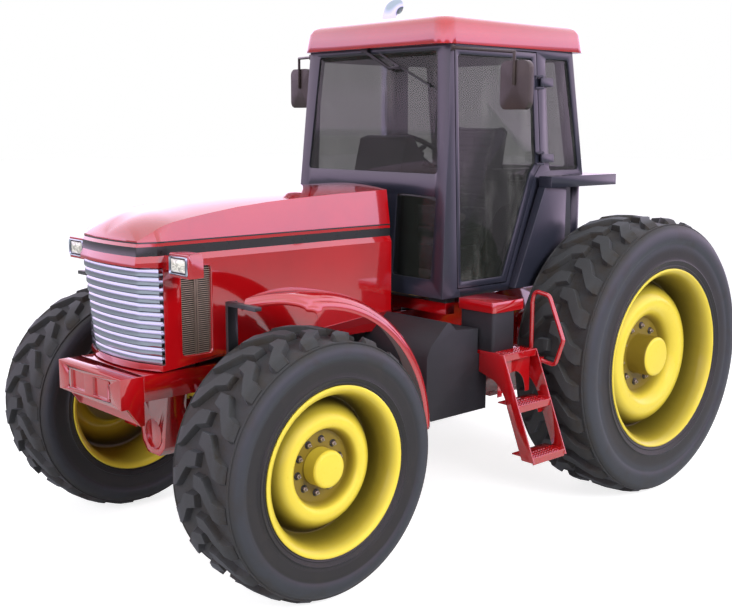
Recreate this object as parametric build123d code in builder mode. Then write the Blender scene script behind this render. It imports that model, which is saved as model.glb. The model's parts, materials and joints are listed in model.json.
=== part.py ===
from build123d import *
import math
import os
from dataclasses import dataclass

# A four-wheel-drive farm tractor with a cab, in millimetres.
# +Z is up, the front faces -Y and the tractor's left side, with the door and
# the steps, is +X. The ground is z = 0 and x = 0 is the middle of the machine.
# Places along the tractor are given as distances ahead of the rear axle.

# ---------------------------------------------------------------- main sizes
WHEELBASE = 2630.0
BRACKET_REACH = 694.0           # front axle to the face of the weight bracket
FRONT_REACH = WHEELBASE + BRACKET_REACH
REAR_REACH = 1050.0             # rear axle to the ends of the lower links
REAR_AXLE_Y = (FRONT_REACH - REAR_REACH) / 2
RUN_GAP = 0.3                   # clearance of a shaft in its hub, on the radius
DOOR_GAP = 6.0                  # gap between the door and the frame round it
SHEET = 6.0                     # thickness of hood and fender sheet


def ahead(distance):
    """The y of a point that lies this far ahead of the rear axle."""
    return REAR_AXLE_Y - distance


@dataclass
class Wheel:
    """One wheel's sizes. Halves are measured from the tyre's middle plane."""

    axle: float             # ahead of the rear axle
    radius: float           # over the lugs
    track_x: float          # the tyre's middle plane
    tread_half: float       # to the shoulder
    shoulder_r: float
    bulge_half: float       # to the widest point of the sidewall
    bulge_r: float
    bead_r: float
    flange_r: float
    flange_half: float
    well_depth: float       # from the bead seat down to the well
    disc_r: tuple           # radii: groove, ring foot, ring crest, ring inner edge
    disc_in: tuple          # the same points, inboard of the outer flange
    hub_plate_in: float     # hub plate's face, inboard of the outer flange
    cap_r: float
    cap_in: float           # end of the hub cap, inboard of the outer flange
    hub_r: float
    hub_x: float            # inner face of the hub
    spindle_r: float
    spindle_end_x: float


FRONT = Wheel(axle=WHEELBASE, radius=680, track_x=940, tread_half=217, shoulder_r=606,
              bulge_half=253, bulge_r=515, bead_r=405, flange_r=434, flange_half=243,
              well_depth=36, disc_r=(345, 330, 262, 190), disc_in=(150, 118, 62, 92),
              hub_plate_in=112, cap_r=97, cap_in=50, hub_r=104, hub_x=862,
              spindle_r=48, spindle_end_x=1040)
REAR = Wheel(axle=0, radius=892, track_x=1062, tread_half=241, shoulder_r=818,
             bulge_half=284, bulge_r=690, bead_r=546, flange_r=576, flange_half=272,
             well_depth=40, disc_r=(485, 462, 350, 245), disc_in=(205, 175, 96, 172),
             hub_plate_in=190, cap_r=128, cap_in=60, hub_r=140, hub_x=912,
             spindle_r=62, spindle_end_x=1100)
RIM_SHEET = 10.0
TYRE_WALL = 26.0
LUG_HEIGHT = 38.0

# ------------------------------------------------------------- front axle
KINGPIN_X = 760.0
KINGPIN_R = 30.0
KNUCKLE_R = 86.0
KNUCKLE_HALF = 104.0            # half the knuckle's height
FORK_PLATE = 34.0
FORK_GAP = 6.0
AXLE_Z = FRONT.radius
TRUNNION_R = 83.0
STEER_ARM = 175.0               # kingpin to tie rod ball, behind the axle
TIE_ROD_Z = AXLE_Z - 125.0
TIE_ROD_R = 17.0
TIE_PIN_R = 10.0

# ----------------------------------------------------------- front fenders
FENDER_R = 866.0                # top of the fender, from the front axle
FENDER_LIP_R = 782.0
FENDER_INNER_X = 758.0
FENDER_CROWN_X = 950.0
FENDER_OUTER_X = 1004.0
FENDER_START = 18.0             # degrees ahead of the top
FENDER_END = 88.0               # degrees behind the top
FENDER_SKEW = 250.0             # the front edge's outer end sits this far behind its inner end
STRUT_X = 655.0
STRUT_FORWARD = 242.0           # the strut stands this far ahead of the axle
STRUT_AHEAD = WHEELBASE + STRUT_FORWARD
STRUT_TOP = AXLE_Z + math.sqrt((FENDER_R - SHEET - 9) ** 2 - STRUT_FORWARD ** 2)

# ------------------------------------------------------ chassis and engine
ENGINE_HALF = 220.0
RAIL_OUT = 330.0                # outer face of the front frame's rails
RAIL_TOP = 1100.0
RAIL_BOTTOM = 965.0
FRAME_FRONT = WHEELBASE + 560
RAIL_REAR = WHEELBASE - 550
BRACKET_BOLTS = (440.0, 90.0)   # spacing across and up
BRACKET_BOLT_R = 9.0
ENGINE_FRONT = WHEELBASE + 160
ENGINE_REAR = 1450.0
CASE_HALF = 230.0
CASE_REAR = -300.0
TRUMPET_END = 460.0             # the housing is straight beyond this half width
TRUMPET_R = 112.0
FRONT_MOUNT = (1290.0, 1215.0)  # front cab mounts, ahead of the rear axle
FRONT_MOUNT_TOP = 1300.0
REAR_AXLE_Z = REAR.radius

# --------------------------------------------------------------------- cab
CAB_BOTTOM = 1345.0
CAB_TOP = 2820.0
CAB_HALF_BOTTOM = 700.0
CAB_HALF_TOP = 635.0
CAB_WALL = 45.0
FRONT_FOOT = 1405.0             # front wall's foot, ahead of the rear axle
FRONT_HEAD = 1298.0
REAR_FOOT = 50.0                # rear wall's foot, on the deck
REAR_HEAD = 158.0
DECK_TOP = 2040.0
DECK_DEPTH = 70.0
DECK_HALF = 800.0
DECK_FRONT = 540.0
DECK_REAR = -145.0
WELL_REAR = 180.0               # the cab's rear wall below the deck
GLASS = 6.0
FLOOR_TOP = 1400.0
CAB_HEIGHT = CAB_TOP - CAB_BOTTOM
SIDE_LEAN = math.atan((CAB_HALF_BOTTOM - CAB_HALF_TOP) / CAB_HEIGHT)
FRONT_LEAN = math.atan((FRONT_FOOT - FRONT_HEAD) / CAB_HEIGHT)
REAR_LEAN = math.atan((REAR_HEAD - REAR_FOOT) / (CAB_TOP - DECK_TOP))

# -------------------------------------------------------------------- hood
HOOD_REAR = 1530.0
HOOD_HINGE = (1620.0, 1890.0)   # ahead of the rear axle, height
HINGE_PIN_R = 12.0

# ------------------------------------------------------------ rear linkage
DRAWBAR_END = -560.0
DRAWBAR_PIN_R = 16.0
PTO_R = 17.5
PTO_JOURNAL_R = 24.0           # the shaft inside its boss
PTO_BOSS = 24.0                 # length of the boss behind the case
PTO_Z = 700.0
PTO_END = -410.0
PTO_STUB = -336.0               # the stub runs from here to the end of the shaft
TOP_EAR = 55.0
TOP_PIN = (-350.0, 1000.0)      # ahead of the rear axle, height
TOP_PIN_R = 16.0
ROCKSHAFT_R = 44.0
ARM_LENGTH = 360.0
ARM_PIVOT = (-230.0, 1130.0)
LINK_PIVOT = (-90.0, 520.0)
LINK_PIN_R = 14.0
LINK_DROP = math.radians(3)
LINK_X = 330.0
LINK_END_X = 435.0
BALL_HOUSING_R = 40.0
LINK_LENGTH = (REAR_REACH - BALL_HOUSING_R + LINK_PIVOT[0]) / math.cos(LINK_DROP)
BALL_BORE_R = 18.5
BALL_WIDTH = 50.0

os.makedirs("parts", exist_ok=True)


def save(part, name):
    """Label a finished piece and write its STEP file."""
    part.label = name
    export_step(part, f"parts/{name}.step")


def block(x, y, z, mode=Mode.ADD):
    """A box between two values on each axis; y is given ahead of the rear axle."""
    front, rear = ahead(y[0]), ahead(y[1])
    with Locations(((x[0] + x[1]) / 2, (front + rear) / 2, (z[0] + z[1]) / 2)):
        Box(abs(x[1] - x[0]), abs(rear - front), abs(z[1] - z[0]), mode=mode)


def rod(start, end, radius, mode=Mode.ADD):
    """A round bar from start to end; both are (x, ahead, z)."""
    a = Vector(start[0], ahead(start[1]), start[2])
    b = Vector(end[0], ahead(end[1]), end[2])
    with BuildSketch(Plane(origin=a, z_dir=b - a)) as end_face:
        Circle(radius)
    extrude(end_face.sketch, amount=(b - a).length, mode=mode)


def plate(plane, points, depth, mode=Mode.ADD):
    """A closed outline of points on a plane, extruded along its normal."""
    with BuildSketch(plane) as outline:
        with BuildLine():
            Polyline(*points, close=True)
        make_face()
    extrude(outline.sketch, amount=depth, mode=mode)


def side_plate(points, x, mode=Mode.ADD):
    """A plate between two x values whose outline is (ahead, height) points."""
    plate(Plane.YZ.offset(min(x)), [(ahead(d), z) for d, z in points], abs(x[1] - x[0]), mode)


def mirrored(part):
    """The same piece on the tractor's other side."""
    return mirror(part, about=Plane.YZ)


# ------------------------------------------------------------------ wheels
def axle_plane(wheel):
    """Sketch plane through the axle: x across the tractor, y the radius."""
    return Plane(origin=(wheel.track_x, ahead(wheel.axle), wheel.radius),
                 x_dir=(1, 0, 0), z_dir=(0, -1, 0))


def axle_line(wheel):
    return Axis((0, ahead(wheel.axle), wheel.radius), (1, 0, 0))


def make_tyre(wheel):
    """Carcass with open beads: flat crown, round shoulders and bulged walls."""
    seat = wheel.flange_half - 16
    toe = seat - 46
    crown_half = wheel.tread_half - 24
    crown_r = wheel.radius - 14
    inner_r = wheel.radius - LUG_HEIGHT - TYRE_WALL
    with BuildPart() as tyre:
        with BuildSketch(axle_plane(wheel)):
            with BuildLine():
                wall = Line((toe, wheel.bead_r), (seat, wheel.bead_r))
                lip = Line(wall @ 1, (seat + 4, wheel.flange_r + 6))
                side = ThreePointArc(lip @ 1, (wheel.bulge_half, wheel.bulge_r),
                                     (wheel.tread_half, wheel.shoulder_r))
                edge = Line(side @ 1, (crown_half, crown_r))
                ThreePointArc(edge @ 1, (0, wheel.radius), (-crown_half, crown_r))
                edge = Line((-crown_half, crown_r), (-wheel.tread_half, wheel.shoulder_r))
                side = ThreePointArc(edge @ 1, (-wheel.bulge_half, wheel.bulge_r),
                                     (-seat - 4, wheel.flange_r + 6))
                lip = Line(side @ 1, (-seat, wheel.bead_r))
                wall = Line(lip @ 1, (-toe, wheel.bead_r))
                foot = Line(wall @ 1, (-toe, wheel.bead_r + TYRE_WALL))
                side = ThreePointArc(foot @ 1, (TYRE_WALL - wheel.bulge_half, wheel.bulge_r),
                                     (50 - wheel.tread_half, wheel.shoulder_r - 20))
                bow = ThreePointArc(side @ 1, (0, inner_r),
                                    (wheel.tread_half - 50, wheel.shoulder_r - 20))
                side = ThreePointArc(bow @ 1, (wheel.bulge_half - TYRE_WALL, wheel.bulge_r),
                                     (toe, wheel.bead_r + TYRE_WALL))
                Line(side @ 1, (toe, wheel.bead_r))
            make_face()
        revolve(axis=axle_line(wheel))
    return tyre.part


def make_rim(wheel):
    """Flanged rim with a drop well, the pressed disc and the hub with its cap."""
    outer = wheel.flange_half
    well = wheel.bead_r - wheel.well_depth
    sheet = RIM_SHEET
    groove_r, foot_r, crest_r, edge_r = wheel.disc_r
    groove_x, foot_x, crest_x, edge_x = [outer - inboard for inboard in wheel.disc_in]
    plate_x = outer - wheel.hub_plate_in
    half_rim = [(outer, wheel.flange_r), (outer - 14, wheel.bead_r), (outer - 64, wheel.bead_r - 3),
                (outer - 96, well)]
    rim_back = [(outer - 92, well - sheet), (outer - 62, wheel.bead_r - 3 - sheet),
                (outer - 10, wheel.bead_r - sheet), (outer + 7, wheel.flange_r - 4)]
    with BuildPart() as rim:
        with BuildSketch(axle_plane(wheel)):
            with BuildLine():
                Polyline(*half_rim, *[(-x, r) for x, r in reversed(half_rim)],
                         *[(-x, r) for x, r in reversed(rim_back)], *rim_back, close=True)
            make_face()
            with BuildLine():
                start = Line((groove_x - sheet, well - sheet), (groove_x, well - sheet))
                groove = Line(start @ 1, (foot_x, foot_r))
                crest = ThreePointArc(groove @ 1, (crest_x, crest_r), (edge_x, edge_r))
                edge = Line(crest @ 1, (plate_x, edge_r - 8))
                plate = Line(edge @ 1, (plate_x, wheel.cap_r))
                cap = Polyline(plate @ 1, (outer - wheel.cap_in - 10, wheel.cap_r),
                               (outer - wheel.cap_in, wheel.cap_r - 12),
                               (outer - wheel.cap_in, 0),
                               (wheel.spindle_end_x + RUN_GAP - wheel.track_x, 0),
                               (wheel.spindle_end_x + RUN_GAP - wheel.track_x,
                                wheel.spindle_r + RUN_GAP),
                               (wheel.hub_x - wheel.track_x, wheel.spindle_r + RUN_GAP),
                               (wheel.hub_x - wheel.track_x, wheel.hub_r),
                               (plate_x - 16, wheel.hub_r), (plate_x - 16, edge_r - 8))
                back = ThreePointArc(cap @ 1, (crest_x - 12, crest_r), (foot_x - 12, foot_r - 6))
                Line(back @ 1, start @ 0)
            make_face()
        revolve(axis=axle_line(wheel))
    return rim.part


for place, wheel in (("front", FRONT), ("rear", REAR)):
    tyre = make_tyre(wheel)
    rim = make_rim(wheel)
    save(tyre, f"{place}_tyre_left")
    save(rim, f"{place}_rim_left")
    save(mirrored(tyre), f"{place}_tyre_right")
    save(mirrored(rim), f"{place}_rim_right")


# -------------------------------------------------- front axle and steering
FORK_TOP = AXLE_Z + KNUCKLE_HALF + FORK_GAP
BEAM_HALF = 62.0

with BuildPart() as front_axle:
    block((-KINGPIN_X + 90, KINGPIN_X - 90), (WHEELBASE + BEAM_HALF, WHEELBASE - BEAM_HALF),
          (AXLE_Z - 75, AXLE_Z + 75))
    rod((0, WHEELBASE + 310, AXLE_Z), (0, WHEELBASE - 300, AXLE_Z), TRUNNION_R - RUN_GAP)
    rod((-150, WHEELBASE, AXLE_Z), (150, WHEELBASE, AXLE_Z), 150)
    for side in (-1, 1):
        for low in (FORK_TOP, AXLE_Z - KNUCKLE_HALF - FORK_GAP - FORK_PLATE):
            block((side * (KINGPIN_X - 130), side * KINGPIN_X),
                  (WHEELBASE + BEAM_HALF, WHEELBASE - BEAM_HALF), (low, low + FORK_PLATE))
            with BuildSketch(Plane.XY.offset(low)):
                with Locations((side * KINGPIN_X, ahead(WHEELBASE))):
                    Circle(BEAM_HALF)
            extrude(amount=FORK_PLATE)
        block((side * (KINGPIN_X - 130), side * (KINGPIN_X - 96)),
              (WHEELBASE + BEAM_HALF, WHEELBASE - BEAM_HALF),
              (AXLE_Z - KNUCKLE_HALF - FORK_GAP, FORK_TOP))
        rod((side * KINGPIN_X, WHEELBASE, FORK_TOP - 40), (side * KINGPIN_X, WHEELBASE, FORK_TOP + 1),
            KINGPIN_R)
        low_pin = AXLE_Z - KNUCKLE_HALF - FORK_GAP
        rod((side * KINGPIN_X, WHEELBASE, low_pin - 1), (side * KINGPIN_X, WHEELBASE, low_pin + 40),
            KINGPIN_R)
save(front_axle.part, "front_axle")

with BuildPart() as knuckle:
    with BuildSketch(Plane.XY.offset(AXLE_Z - KNUCKLE_HALF)):
        with Locations((KINGPIN_X, ahead(WHEELBASE))):
            Circle(KNUCKLE_R - 4)
    extrude(amount=2 * KNUCKLE_HALF)
    rod((KINGPIN_X, WHEELBASE, AXLE_Z), (FRONT.hub_x - 8, WHEELBASE, AXLE_Z), 92)
    rod((KINGPIN_X, WHEELBASE, AXLE_Z), (FRONT.spindle_end_x, WHEELBASE, AXLE_Z), FRONT.spindle_r)
    # steering arm behind the axle, with the ball pin of the tie rod below it
    block((KINGPIN_X - 26, KINGPIN_X + 26), (WHEELBASE - 60, WHEELBASE - STEER_ARM - 30),
          (AXLE_Z - KNUCKLE_HALF, AXLE_Z - KNUCKLE_HALF + 20))
    rod((KINGPIN_X, WHEELBASE - STEER_ARM, TIE_ROD_Z - 18),
        (KINGPIN_X, WHEELBASE - STEER_ARM, AXLE_Z - KNUCKLE_HALF + 1), TIE_PIN_R)
    # arm ahead of the axle, with the fender's strut standing inboard of the tyre
    block((KINGPIN_X - 22, KINGPIN_X + 20), (STRUT_AHEAD - 12, WHEELBASE + 60),
          (AXLE_Z + 20, AXLE_Z + 40))
    block((STRUT_X - 10, KINGPIN_X + 20), (STRUT_AHEAD + 20, STRUT_AHEAD - 20),
          (AXLE_Z + 20, AXLE_Z + 40))
    block((STRUT_X - 10, STRUT_X + 10), (STRUT_AHEAD + 30, STRUT_AHEAD - 30),
          (AXLE_Z + 20, STRUT_TOP - 6))
    block((STRUT_X - 10, FENDER_CROWN_X - 60), (STRUT_AHEAD + 30, STRUT_AHEAD - 10),
          (STRUT_TOP - 26, STRUT_TOP - 6))
    for low in (AXLE_Z - KNUCKLE_HALF - 1, AXLE_Z + KNUCKLE_HALF - 42):
        rod((KINGPIN_X, WHEELBASE, low), (KINGPIN_X, WHEELBASE, low + 43), KINGPIN_R + RUN_GAP,
            mode=Mode.SUBTRACT)
save(knuckle.part, "knuckle_left")
save(mirrored(knuckle.part), "knuckle_right")

with BuildPart() as tie_rod:
    rod((-KINGPIN_X + 30, WHEELBASE - STEER_ARM, TIE_ROD_Z),
        (KINGPIN_X - 30, WHEELBASE - STEER_ARM, TIE_ROD_Z), TIE_ROD_R)
    for side in (-1, 1):
        ball = (side * KINGPIN_X, WHEELBASE - STEER_ARM)
        rod((*ball, TIE_ROD_Z - 14), (*ball, TIE_ROD_Z + 14), 32)
        rod((*ball, TIE_ROD_Z - 15), (*ball, TIE_ROD_Z + 15), TIE_PIN_R + RUN_GAP,
            mode=Mode.SUBTRACT)
save(tie_rod.part, "tie_rod")

# ---------------------------------------------------------- fender shells
start_angle = math.radians(FENDER_START)
with BuildPart() as fender:
    with BuildSketch(Plane(origin=(0, ahead(WHEELBASE), AXLE_Z), x_dir=(1, 0, 0),
                           z_dir=(0, -math.cos(start_angle), -math.sin(start_angle)))):
        with BuildLine():
            Polyline((FENDER_INNER_X, FENDER_R - 14), (FENDER_INNER_X, FENDER_R),
                     (FENDER_CROWN_X, FENDER_R - 6), (FENDER_OUTER_X - 10, FENDER_R - 36),
                     (FENDER_OUTER_X, FENDER_LIP_R), (FENDER_OUTER_X + 10, FENDER_LIP_R - 4),
                     (FENDER_OUTER_X + 8, FENDER_LIP_R - 10), (FENDER_OUTER_X - 6, FENDER_LIP_R),
                     (FENDER_OUTER_X - 16, FENDER_R - 39), (FENDER_CROWN_X - 3, FENDER_R - 12),
                     (FENDER_INNER_X + SHEET, FENDER_R - SHEET),
                     (FENDER_INNER_X + SHEET, FENDER_R - 14), close=True)
        make_face()
    revolve(axis=Axis((0, ahead(WHEELBASE), AXLE_Z), (-1, 0, 0)),
            revolution_arc=FENDER_START + FENDER_END)
    # the front edge runs back towards the outside
    fender_front = WHEELBASE + FENDER_R * math.sin(start_angle)
    plate(Plane.XY.offset(AXLE_Z + 500),
          [(FENDER_INNER_X + 90, ahead(fender_front + 60)), (FENDER_OUTER_X + 40, ahead(fender_front + 60)),
           (FENDER_OUTER_X + 40, ahead(fender_front - FENDER_SKEW)),
           (FENDER_OUTER_X - 30, ahead(fender_front - FENDER_SKEW))], 500, mode=Mode.SUBTRACT)
save(fender.part, "front_fender_left")
save(mirrored(fender.part), "front_fender_right")

# ---------------------------------------------------- frame, engine and case
with BuildPart() as front_frame:
    for side in (-1, 1):
        block((side * ENGINE_HALF, side * RAIL_OUT), (FRAME_FRONT, RAIL_REAR), (RAIL_BOTTOM, RAIL_TOP))
    block((-RAIL_OUT, RAIL_OUT), (FRAME_FRONT, FRAME_FRONT - 90), (RAIL_BOTTOM, RAIL_TOP))
    block((-RAIL_OUT, RAIL_OUT), (FRAME_FRONT - 90, ENGINE_FRONT), (RAIL_TOP - 30, RAIL_TOP))
    pedestal = [(-170, RAIL_BOTTOM), (-115, AXLE_Z - 60), (-60, AXLE_Z - 115), (60, AXLE_Z - 115),
                (115, AXLE_Z - 60), (170, RAIL_BOTTOM), (ENGINE_HALF, RAIL_BOTTOM),
                (ENGINE_HALF, RAIL_BOTTOM + 60), (-ENGINE_HALF, RAIL_BOTTOM + 60),
                (-ENGINE_HALF, RAIL_BOTTOM)]
    for near, far in ((320, 200), (-200, -300)):
        plate(Plane.XZ.offset(-ahead(WHEELBASE + far)), pedestal, near - far if near > 0 else 100)
    rod((0, WHEELBASE + 330, AXLE_Z), (0, WHEELBASE - 320, AXLE_Z), TRUNNION_R, mode=Mode.SUBTRACT)
save(front_frame.part, "front_frame")

with BuildPart() as weight_bracket:
    side_plate([(FRONT_REACH, 940), (FRONT_REACH, RAIL_TOP), (FRAME_FRONT, RAIL_TOP),
                (FRAME_FRONT, 840), (FRAME_FRONT + 24, 840), (FRONT_REACH - 38, 940)],
               (-RAIL_OUT, RAIL_OUT))
    block((-RAIL_OUT + 24, RAIL_OUT - 24), (FRONT_REACH - 38, FRAME_FRONT + 20),
          (800, RAIL_TOP - 24), mode=Mode.SUBTRACT)
    # shallow recesses on both sides of the middle lug
    for side in (-1, 1):
        block((side * 46, side * 190), (FRONT_REACH, FRONT_REACH - 12), (972, 1068), mode=Mode.SUBTRACT)
    with BuildSketch(Plane.XZ.offset(-ahead(FRAME_FRONT + 60))):
        with Locations((0, (940 + RAIL_TOP) / 2)):
            with GridLocations(BRACKET_BOLTS[0], BRACKET_BOLTS[1], 2, 2):
                Circle(BRACKET_BOLT_R)
    extrude(amount=FRONT_REACH, mode=Mode.SUBTRACT)
save(weight_bracket.part, "weight_bracket")

with BuildPart() as engine:
    side_plate([(ENGINE_REAR, 640), (ENGINE_REAR, 1700), (ENGINE_FRONT - 290, 1700),
                (ENGINE_FRONT, 1560), (ENGINE_FRONT, RAIL_BOTTOM + 60),
                (WHEELBASE - 380, RAIL_BOTTOM + 60), (WHEELBASE - 380, 720), (WHEELBASE - 530, 640)],
               (-ENGINE_HALF, ENGINE_HALF))
    block((-100, 100), (HOOD_HINGE[0] + 40, HOOD_HINGE[0] - 40), (1700, HOOD_HINGE[1] + 24))
    rod((-150, *HOOD_HINGE), (150, *HOOD_HINGE), HINGE_PIN_R)
save(engine.part, "engine_block")

with BuildPart() as radiator:
    block((-300, 300), (WHEELBASE + 370, WHEELBASE + 230), (RAIL_TOP, 1820))
save(radiator.part, "radiator")

with BuildPart() as case:
    side_plate([(ENGINE_REAR, 620), (ENGINE_REAR, 1200), (700, 1200), (200, 1250), (CASE_REAR, 1250),
                (CASE_REAR, 560), (0, 540), (500, 540)], (-CASE_HALF, CASE_HALF))
    # cross bracket under the front cab mounts
    block((-160, 160), FRONT_MOUNT, (1190, 1230))
    block((-620, 620), FRONT_MOUNT, (1230, FRONT_MOUNT_TOP))
    rod((-CASE_HALF - 1, *ARM_PIVOT), (CASE_HALF + 1, *ARM_PIVOT), ROCKSHAFT_R + RUN_GAP,
        mode=Mode.SUBTRACT)
    rod((0, CASE_REAR, PTO_Z), (0, CASE_REAR - PTO_BOSS, PTO_Z), 62)
    rod((0, CASE_REAR + 60, PTO_Z), (0, CASE_REAR - PTO_BOSS - 1, PTO_Z), PTO_JOURNAL_R + RUN_GAP,
        mode=Mode.SUBTRACT)
    # two ears for the top link's pin
    for x in ((-TOP_EAR, -TOP_EAR + 18), (TOP_EAR - 18, TOP_EAR)):
        side_plate([(CASE_REAR, TOP_PIN[1] + 70), (TOP_PIN[0] - 34, TOP_PIN[1] + 26),
                    (TOP_PIN[0] - 34, TOP_PIN[1] - 26), (CASE_REAR, TOP_PIN[1] - 70)], x)
    rod((-TOP_EAR - 1, *TOP_PIN), (TOP_EAR + 1, *TOP_PIN), TOP_PIN_R, mode=Mode.SUBTRACT)
save(case.part, "transmission_case")

with BuildPart() as rear_axles:
    for side in (-1, 1):
        rod((side * CASE_HALF, 0, REAR_AXLE_Z), (side * (REAR.hub_x - 14), 0, REAR_AXLE_Z), TRUMPET_R)
        # trumpet housing, widest at the case
        with BuildSketch(Plane(origin=(0, ahead(0), REAR_AXLE_Z), x_dir=(side, 0, 0), z_dir=(0, -side, 0))):
            with BuildLine():
                Polyline((CASE_HALF, 0), (CASE_HALF, 190), (CASE_HALF + 60, 190), (CASE_HALF + 74, 172),
                         (TRUMPET_END, TRUMPET_R), (TRUMPET_END, 0), close=True)
            make_face()
        revolve(axis=Axis((0, ahead(0), REAR_AXLE_Z), (1, 0, 0)))
        rod((side * (REAR.hub_x - 50), 0, REAR_AXLE_Z), (side * REAR.spindle_end_x, 0, REAR_AXLE_Z),
            REAR.spindle_r)
        rod((side * (REAR.hub_x - 60), 0, REAR_AXLE_Z), (side * (REAR.hub_x - 14), 0, REAR_AXLE_Z),
            150)
        # hanger of each lower link: it stands between the link's two plates
        block((side * CASE_HALF, side * (LINK_X + 18)), (LINK_PIVOT[0] + 36, LINK_PIVOT[0] - 36),
              (LINK_PIVOT[1] + 80, LINK_PIVOT[1] + 180))
        block((side * (LINK_X - 18), side * (LINK_X + 18)), (LINK_PIVOT[0] + 30, LINK_PIVOT[0] - 30),
              (LINK_PIVOT[1] - 30, LINK_PIVOT[1] + 80))
        rod((side * (LINK_X - 40), *LINK_PIVOT), (side * (LINK_X + 40), *LINK_PIVOT), LINK_PIN_R)
        # pedestal for the cab mount on each trumpet
        block((side * 480, side * 620), (70, -70), (REAR_AXLE_Z, 1215))
save(rear_axles.part, "rear_axles")

# ------------------------------------------- tanks, battery box and steps
TANK_X = (350.0, 900.0)
TANK_BOTTOM = 700.0
TANK_FRONT = 1730.0
TANK_REAR = 1230.0
TANK_LEDGE = 1040.0             # height of the ledge behind the tank's hump
TANK_OUTLINE = [(TANK_FRONT, TANK_BOTTOM + 40), (TANK_FRONT, 1070), (TANK_FRONT - 30, 1130),
                (1570, 1252), (1545, 1252), (1500, 1205), (1310, 1190), (1310, TANK_LEDGE),
                (TANK_REAR, TANK_LEDGE), (TANK_REAR, TANK_BOTTOM), (TANK_FRONT - 40, TANK_BOTTOM)]
SHELF_TOP = 1060.0              # the shelf under the battery is level with the top tread

with BuildPart() as tank:
    side_plate(TANK_OUTLINE, TANK_X)
    # straps' saddle that carries the tank on the transmission
    block((CASE_HALF, TANK_X[0]), (1400, 1300), (780, 860))
save(tank.part, "fuel_tank")
save(mirrored(tank.part), "right_tank")

BATTERY_X = (740.0, 1000.0)
BATTERY_FRONT = 1290.0
BATTERY_REAR = 1100.0
BATTERY_TOP = 1290.0
LID_TOP = 1352.0
with BuildPart() as battery_box:
    block(BATTERY_X, (BATTERY_FRONT, BATTERY_REAR), (SHELF_TOP, BATTERY_TOP))
    fillet(battery_box.edges().filter_by(Axis.Z), 18)
save(battery_box.part, "battery_box")

with BuildPart() as battery_lid:
    block((BATTERY_X[0] - 14, BATTERY_X[1] + 14), (BATTERY_FRONT + 14, BATTERY_REAR - 70),
          (BATTERY_TOP, LID_TOP))
    fillet(battery_lid.edges().filter_by(Axis.Z), 22)
save(battery_lid.part, "battery_lid")

# ladder: two slanting side plates and three treads, fanning outwards
STEP_INNER = TANK_X[1] + 2
STEP_FRONT = 1300.0
STEP_REAR = 1000.0
STEP_TOP = (1090.0, 1060.0)     # the ladder's outer edge: x and height at its top
STEP_FOOT = (1332.0, 470.0)
STEP_DEPTH = 92.0
TREAD_HEIGHTS = (1060.0, 780.0, 500.0)
STEP_SHEET = 8.0
step_slope = (STEP_FOOT[0] - STEP_TOP[0]) / (STEP_TOP[1] - STEP_FOOT[1])


def ladder_x(height):
    """x of the ladder's outer edge at a height."""
    return STEP_TOP[0] + (STEP_TOP[1] - height) * step_slope


with BuildPart() as steps:
    for front in (STEP_FRONT, STEP_REAR + STEP_SHEET):
        with BuildSketch(Plane.XZ.offset(-ahead(front - STEP_SHEET))):
            with BuildLine():
                edge = Polyline((STEP_INNER, 935), (STEP_INNER, STEP_TOP[1]), STEP_TOP, STEP_FOOT,
                                (STEP_FOOT[0] - STEP_DEPTH, STEP_FOOT[1]), (ladder_x(760) - STEP_DEPTH, 760))
                throat = ThreePointArc(edge @ 1, (ladder_x(850) - STEP_DEPTH - 8, 850),
                                       (ladder_x(900) - STEP_DEPTH - 50, 900))
                Line(throat @ 1, edge @ 0)
            make_face()
        extrude(amount=STEP_SHEET)
    for height in TREAD_HEIGHTS:
        inner = STEP_INNER if height == STEP_TOP[1] else ladder_x(height) - STEP_DEPTH - 60
        block((inner, ladder_x(height)), (STEP_FRONT, STEP_REAR), (height - STEP_SHEET, height))
    # shelf under the battery and the bracket that ties the ladder to the case
    block((CASE_HALF, STEP_INNER), (TANK_REAR - 6, STEP_REAR), (TANK_LEDGE, SHELF_TOP))
    block((BATTERY_X[0] - 140, STEP_INNER), (STEP_FRONT, TANK_REAR - 6), (TANK_LEDGE, SHELF_TOP))
    block((CASE_HALF, STEP_INNER), (TANK_REAR - 40, TANK_REAR - 100), (TANK_LEDGE - 80, TANK_LEDGE))
save(steps.part, "steps")

RAIL_R = 13.0
with BuildPart() as handrail:
    with BuildLine() as loop:
        FilletPolyline((1036, ahead(STEP_REAR - RAIL_R), 1052 + 1), (1036, ahead(STEP_REAR - RAIL_R), 1330),
                       (1052, ahead(STEP_REAR - RAIL_R), 1397), (1160, ahead(STEP_REAR - RAIL_R), 1380),
                       (1270, ahead(STEP_REAR - RAIL_R), 1130), (1215, ahead(STEP_REAR - RAIL_R), 975),
                       (1115, ahead(STEP_REAR - RAIL_R), 990), radius=34)
    with BuildSketch(Plane(origin=loop.line @ 0, z_dir=loop.line % 0)):
        Circle(RAIL_R)
    sweep(path=loop.line)
    block((1020, 1122), (STEP_REAR, STEP_REAR - 2 * RAIL_R), (975, 1010))
save(handrail.part, "handrail")

# ------------------------------------------------------------- rear deck
with BuildPart() as rear_deck:
    with BuildSketch(Plane.XY.offset(DECK_TOP - DECK_DEPTH)):
        with BuildLine():
            Polyline((-DECK_HALF, ahead(DECK_FRONT)), (-DECK_HALF, ahead(DECK_REAR)),
                     (DECK_HALF, ahead(DECK_REAR)), (DECK_HALF, ahead(DECK_FRONT)),
                     (CAB_HALF_BOTTOM, ahead(DECK_FRONT)), (CAB_HALF_BOTTOM, ahead(WELL_REAR)),
                     (-CAB_HALF_BOTTOM, ahead(WELL_REAR)), (-CAB_HALF_BOTTOM, ahead(DECK_FRONT)),
                     close=True)
        make_face()
    extrude(amount=DECK_DEPTH)
save(rear_deck.part, "rear_deck")

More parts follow.
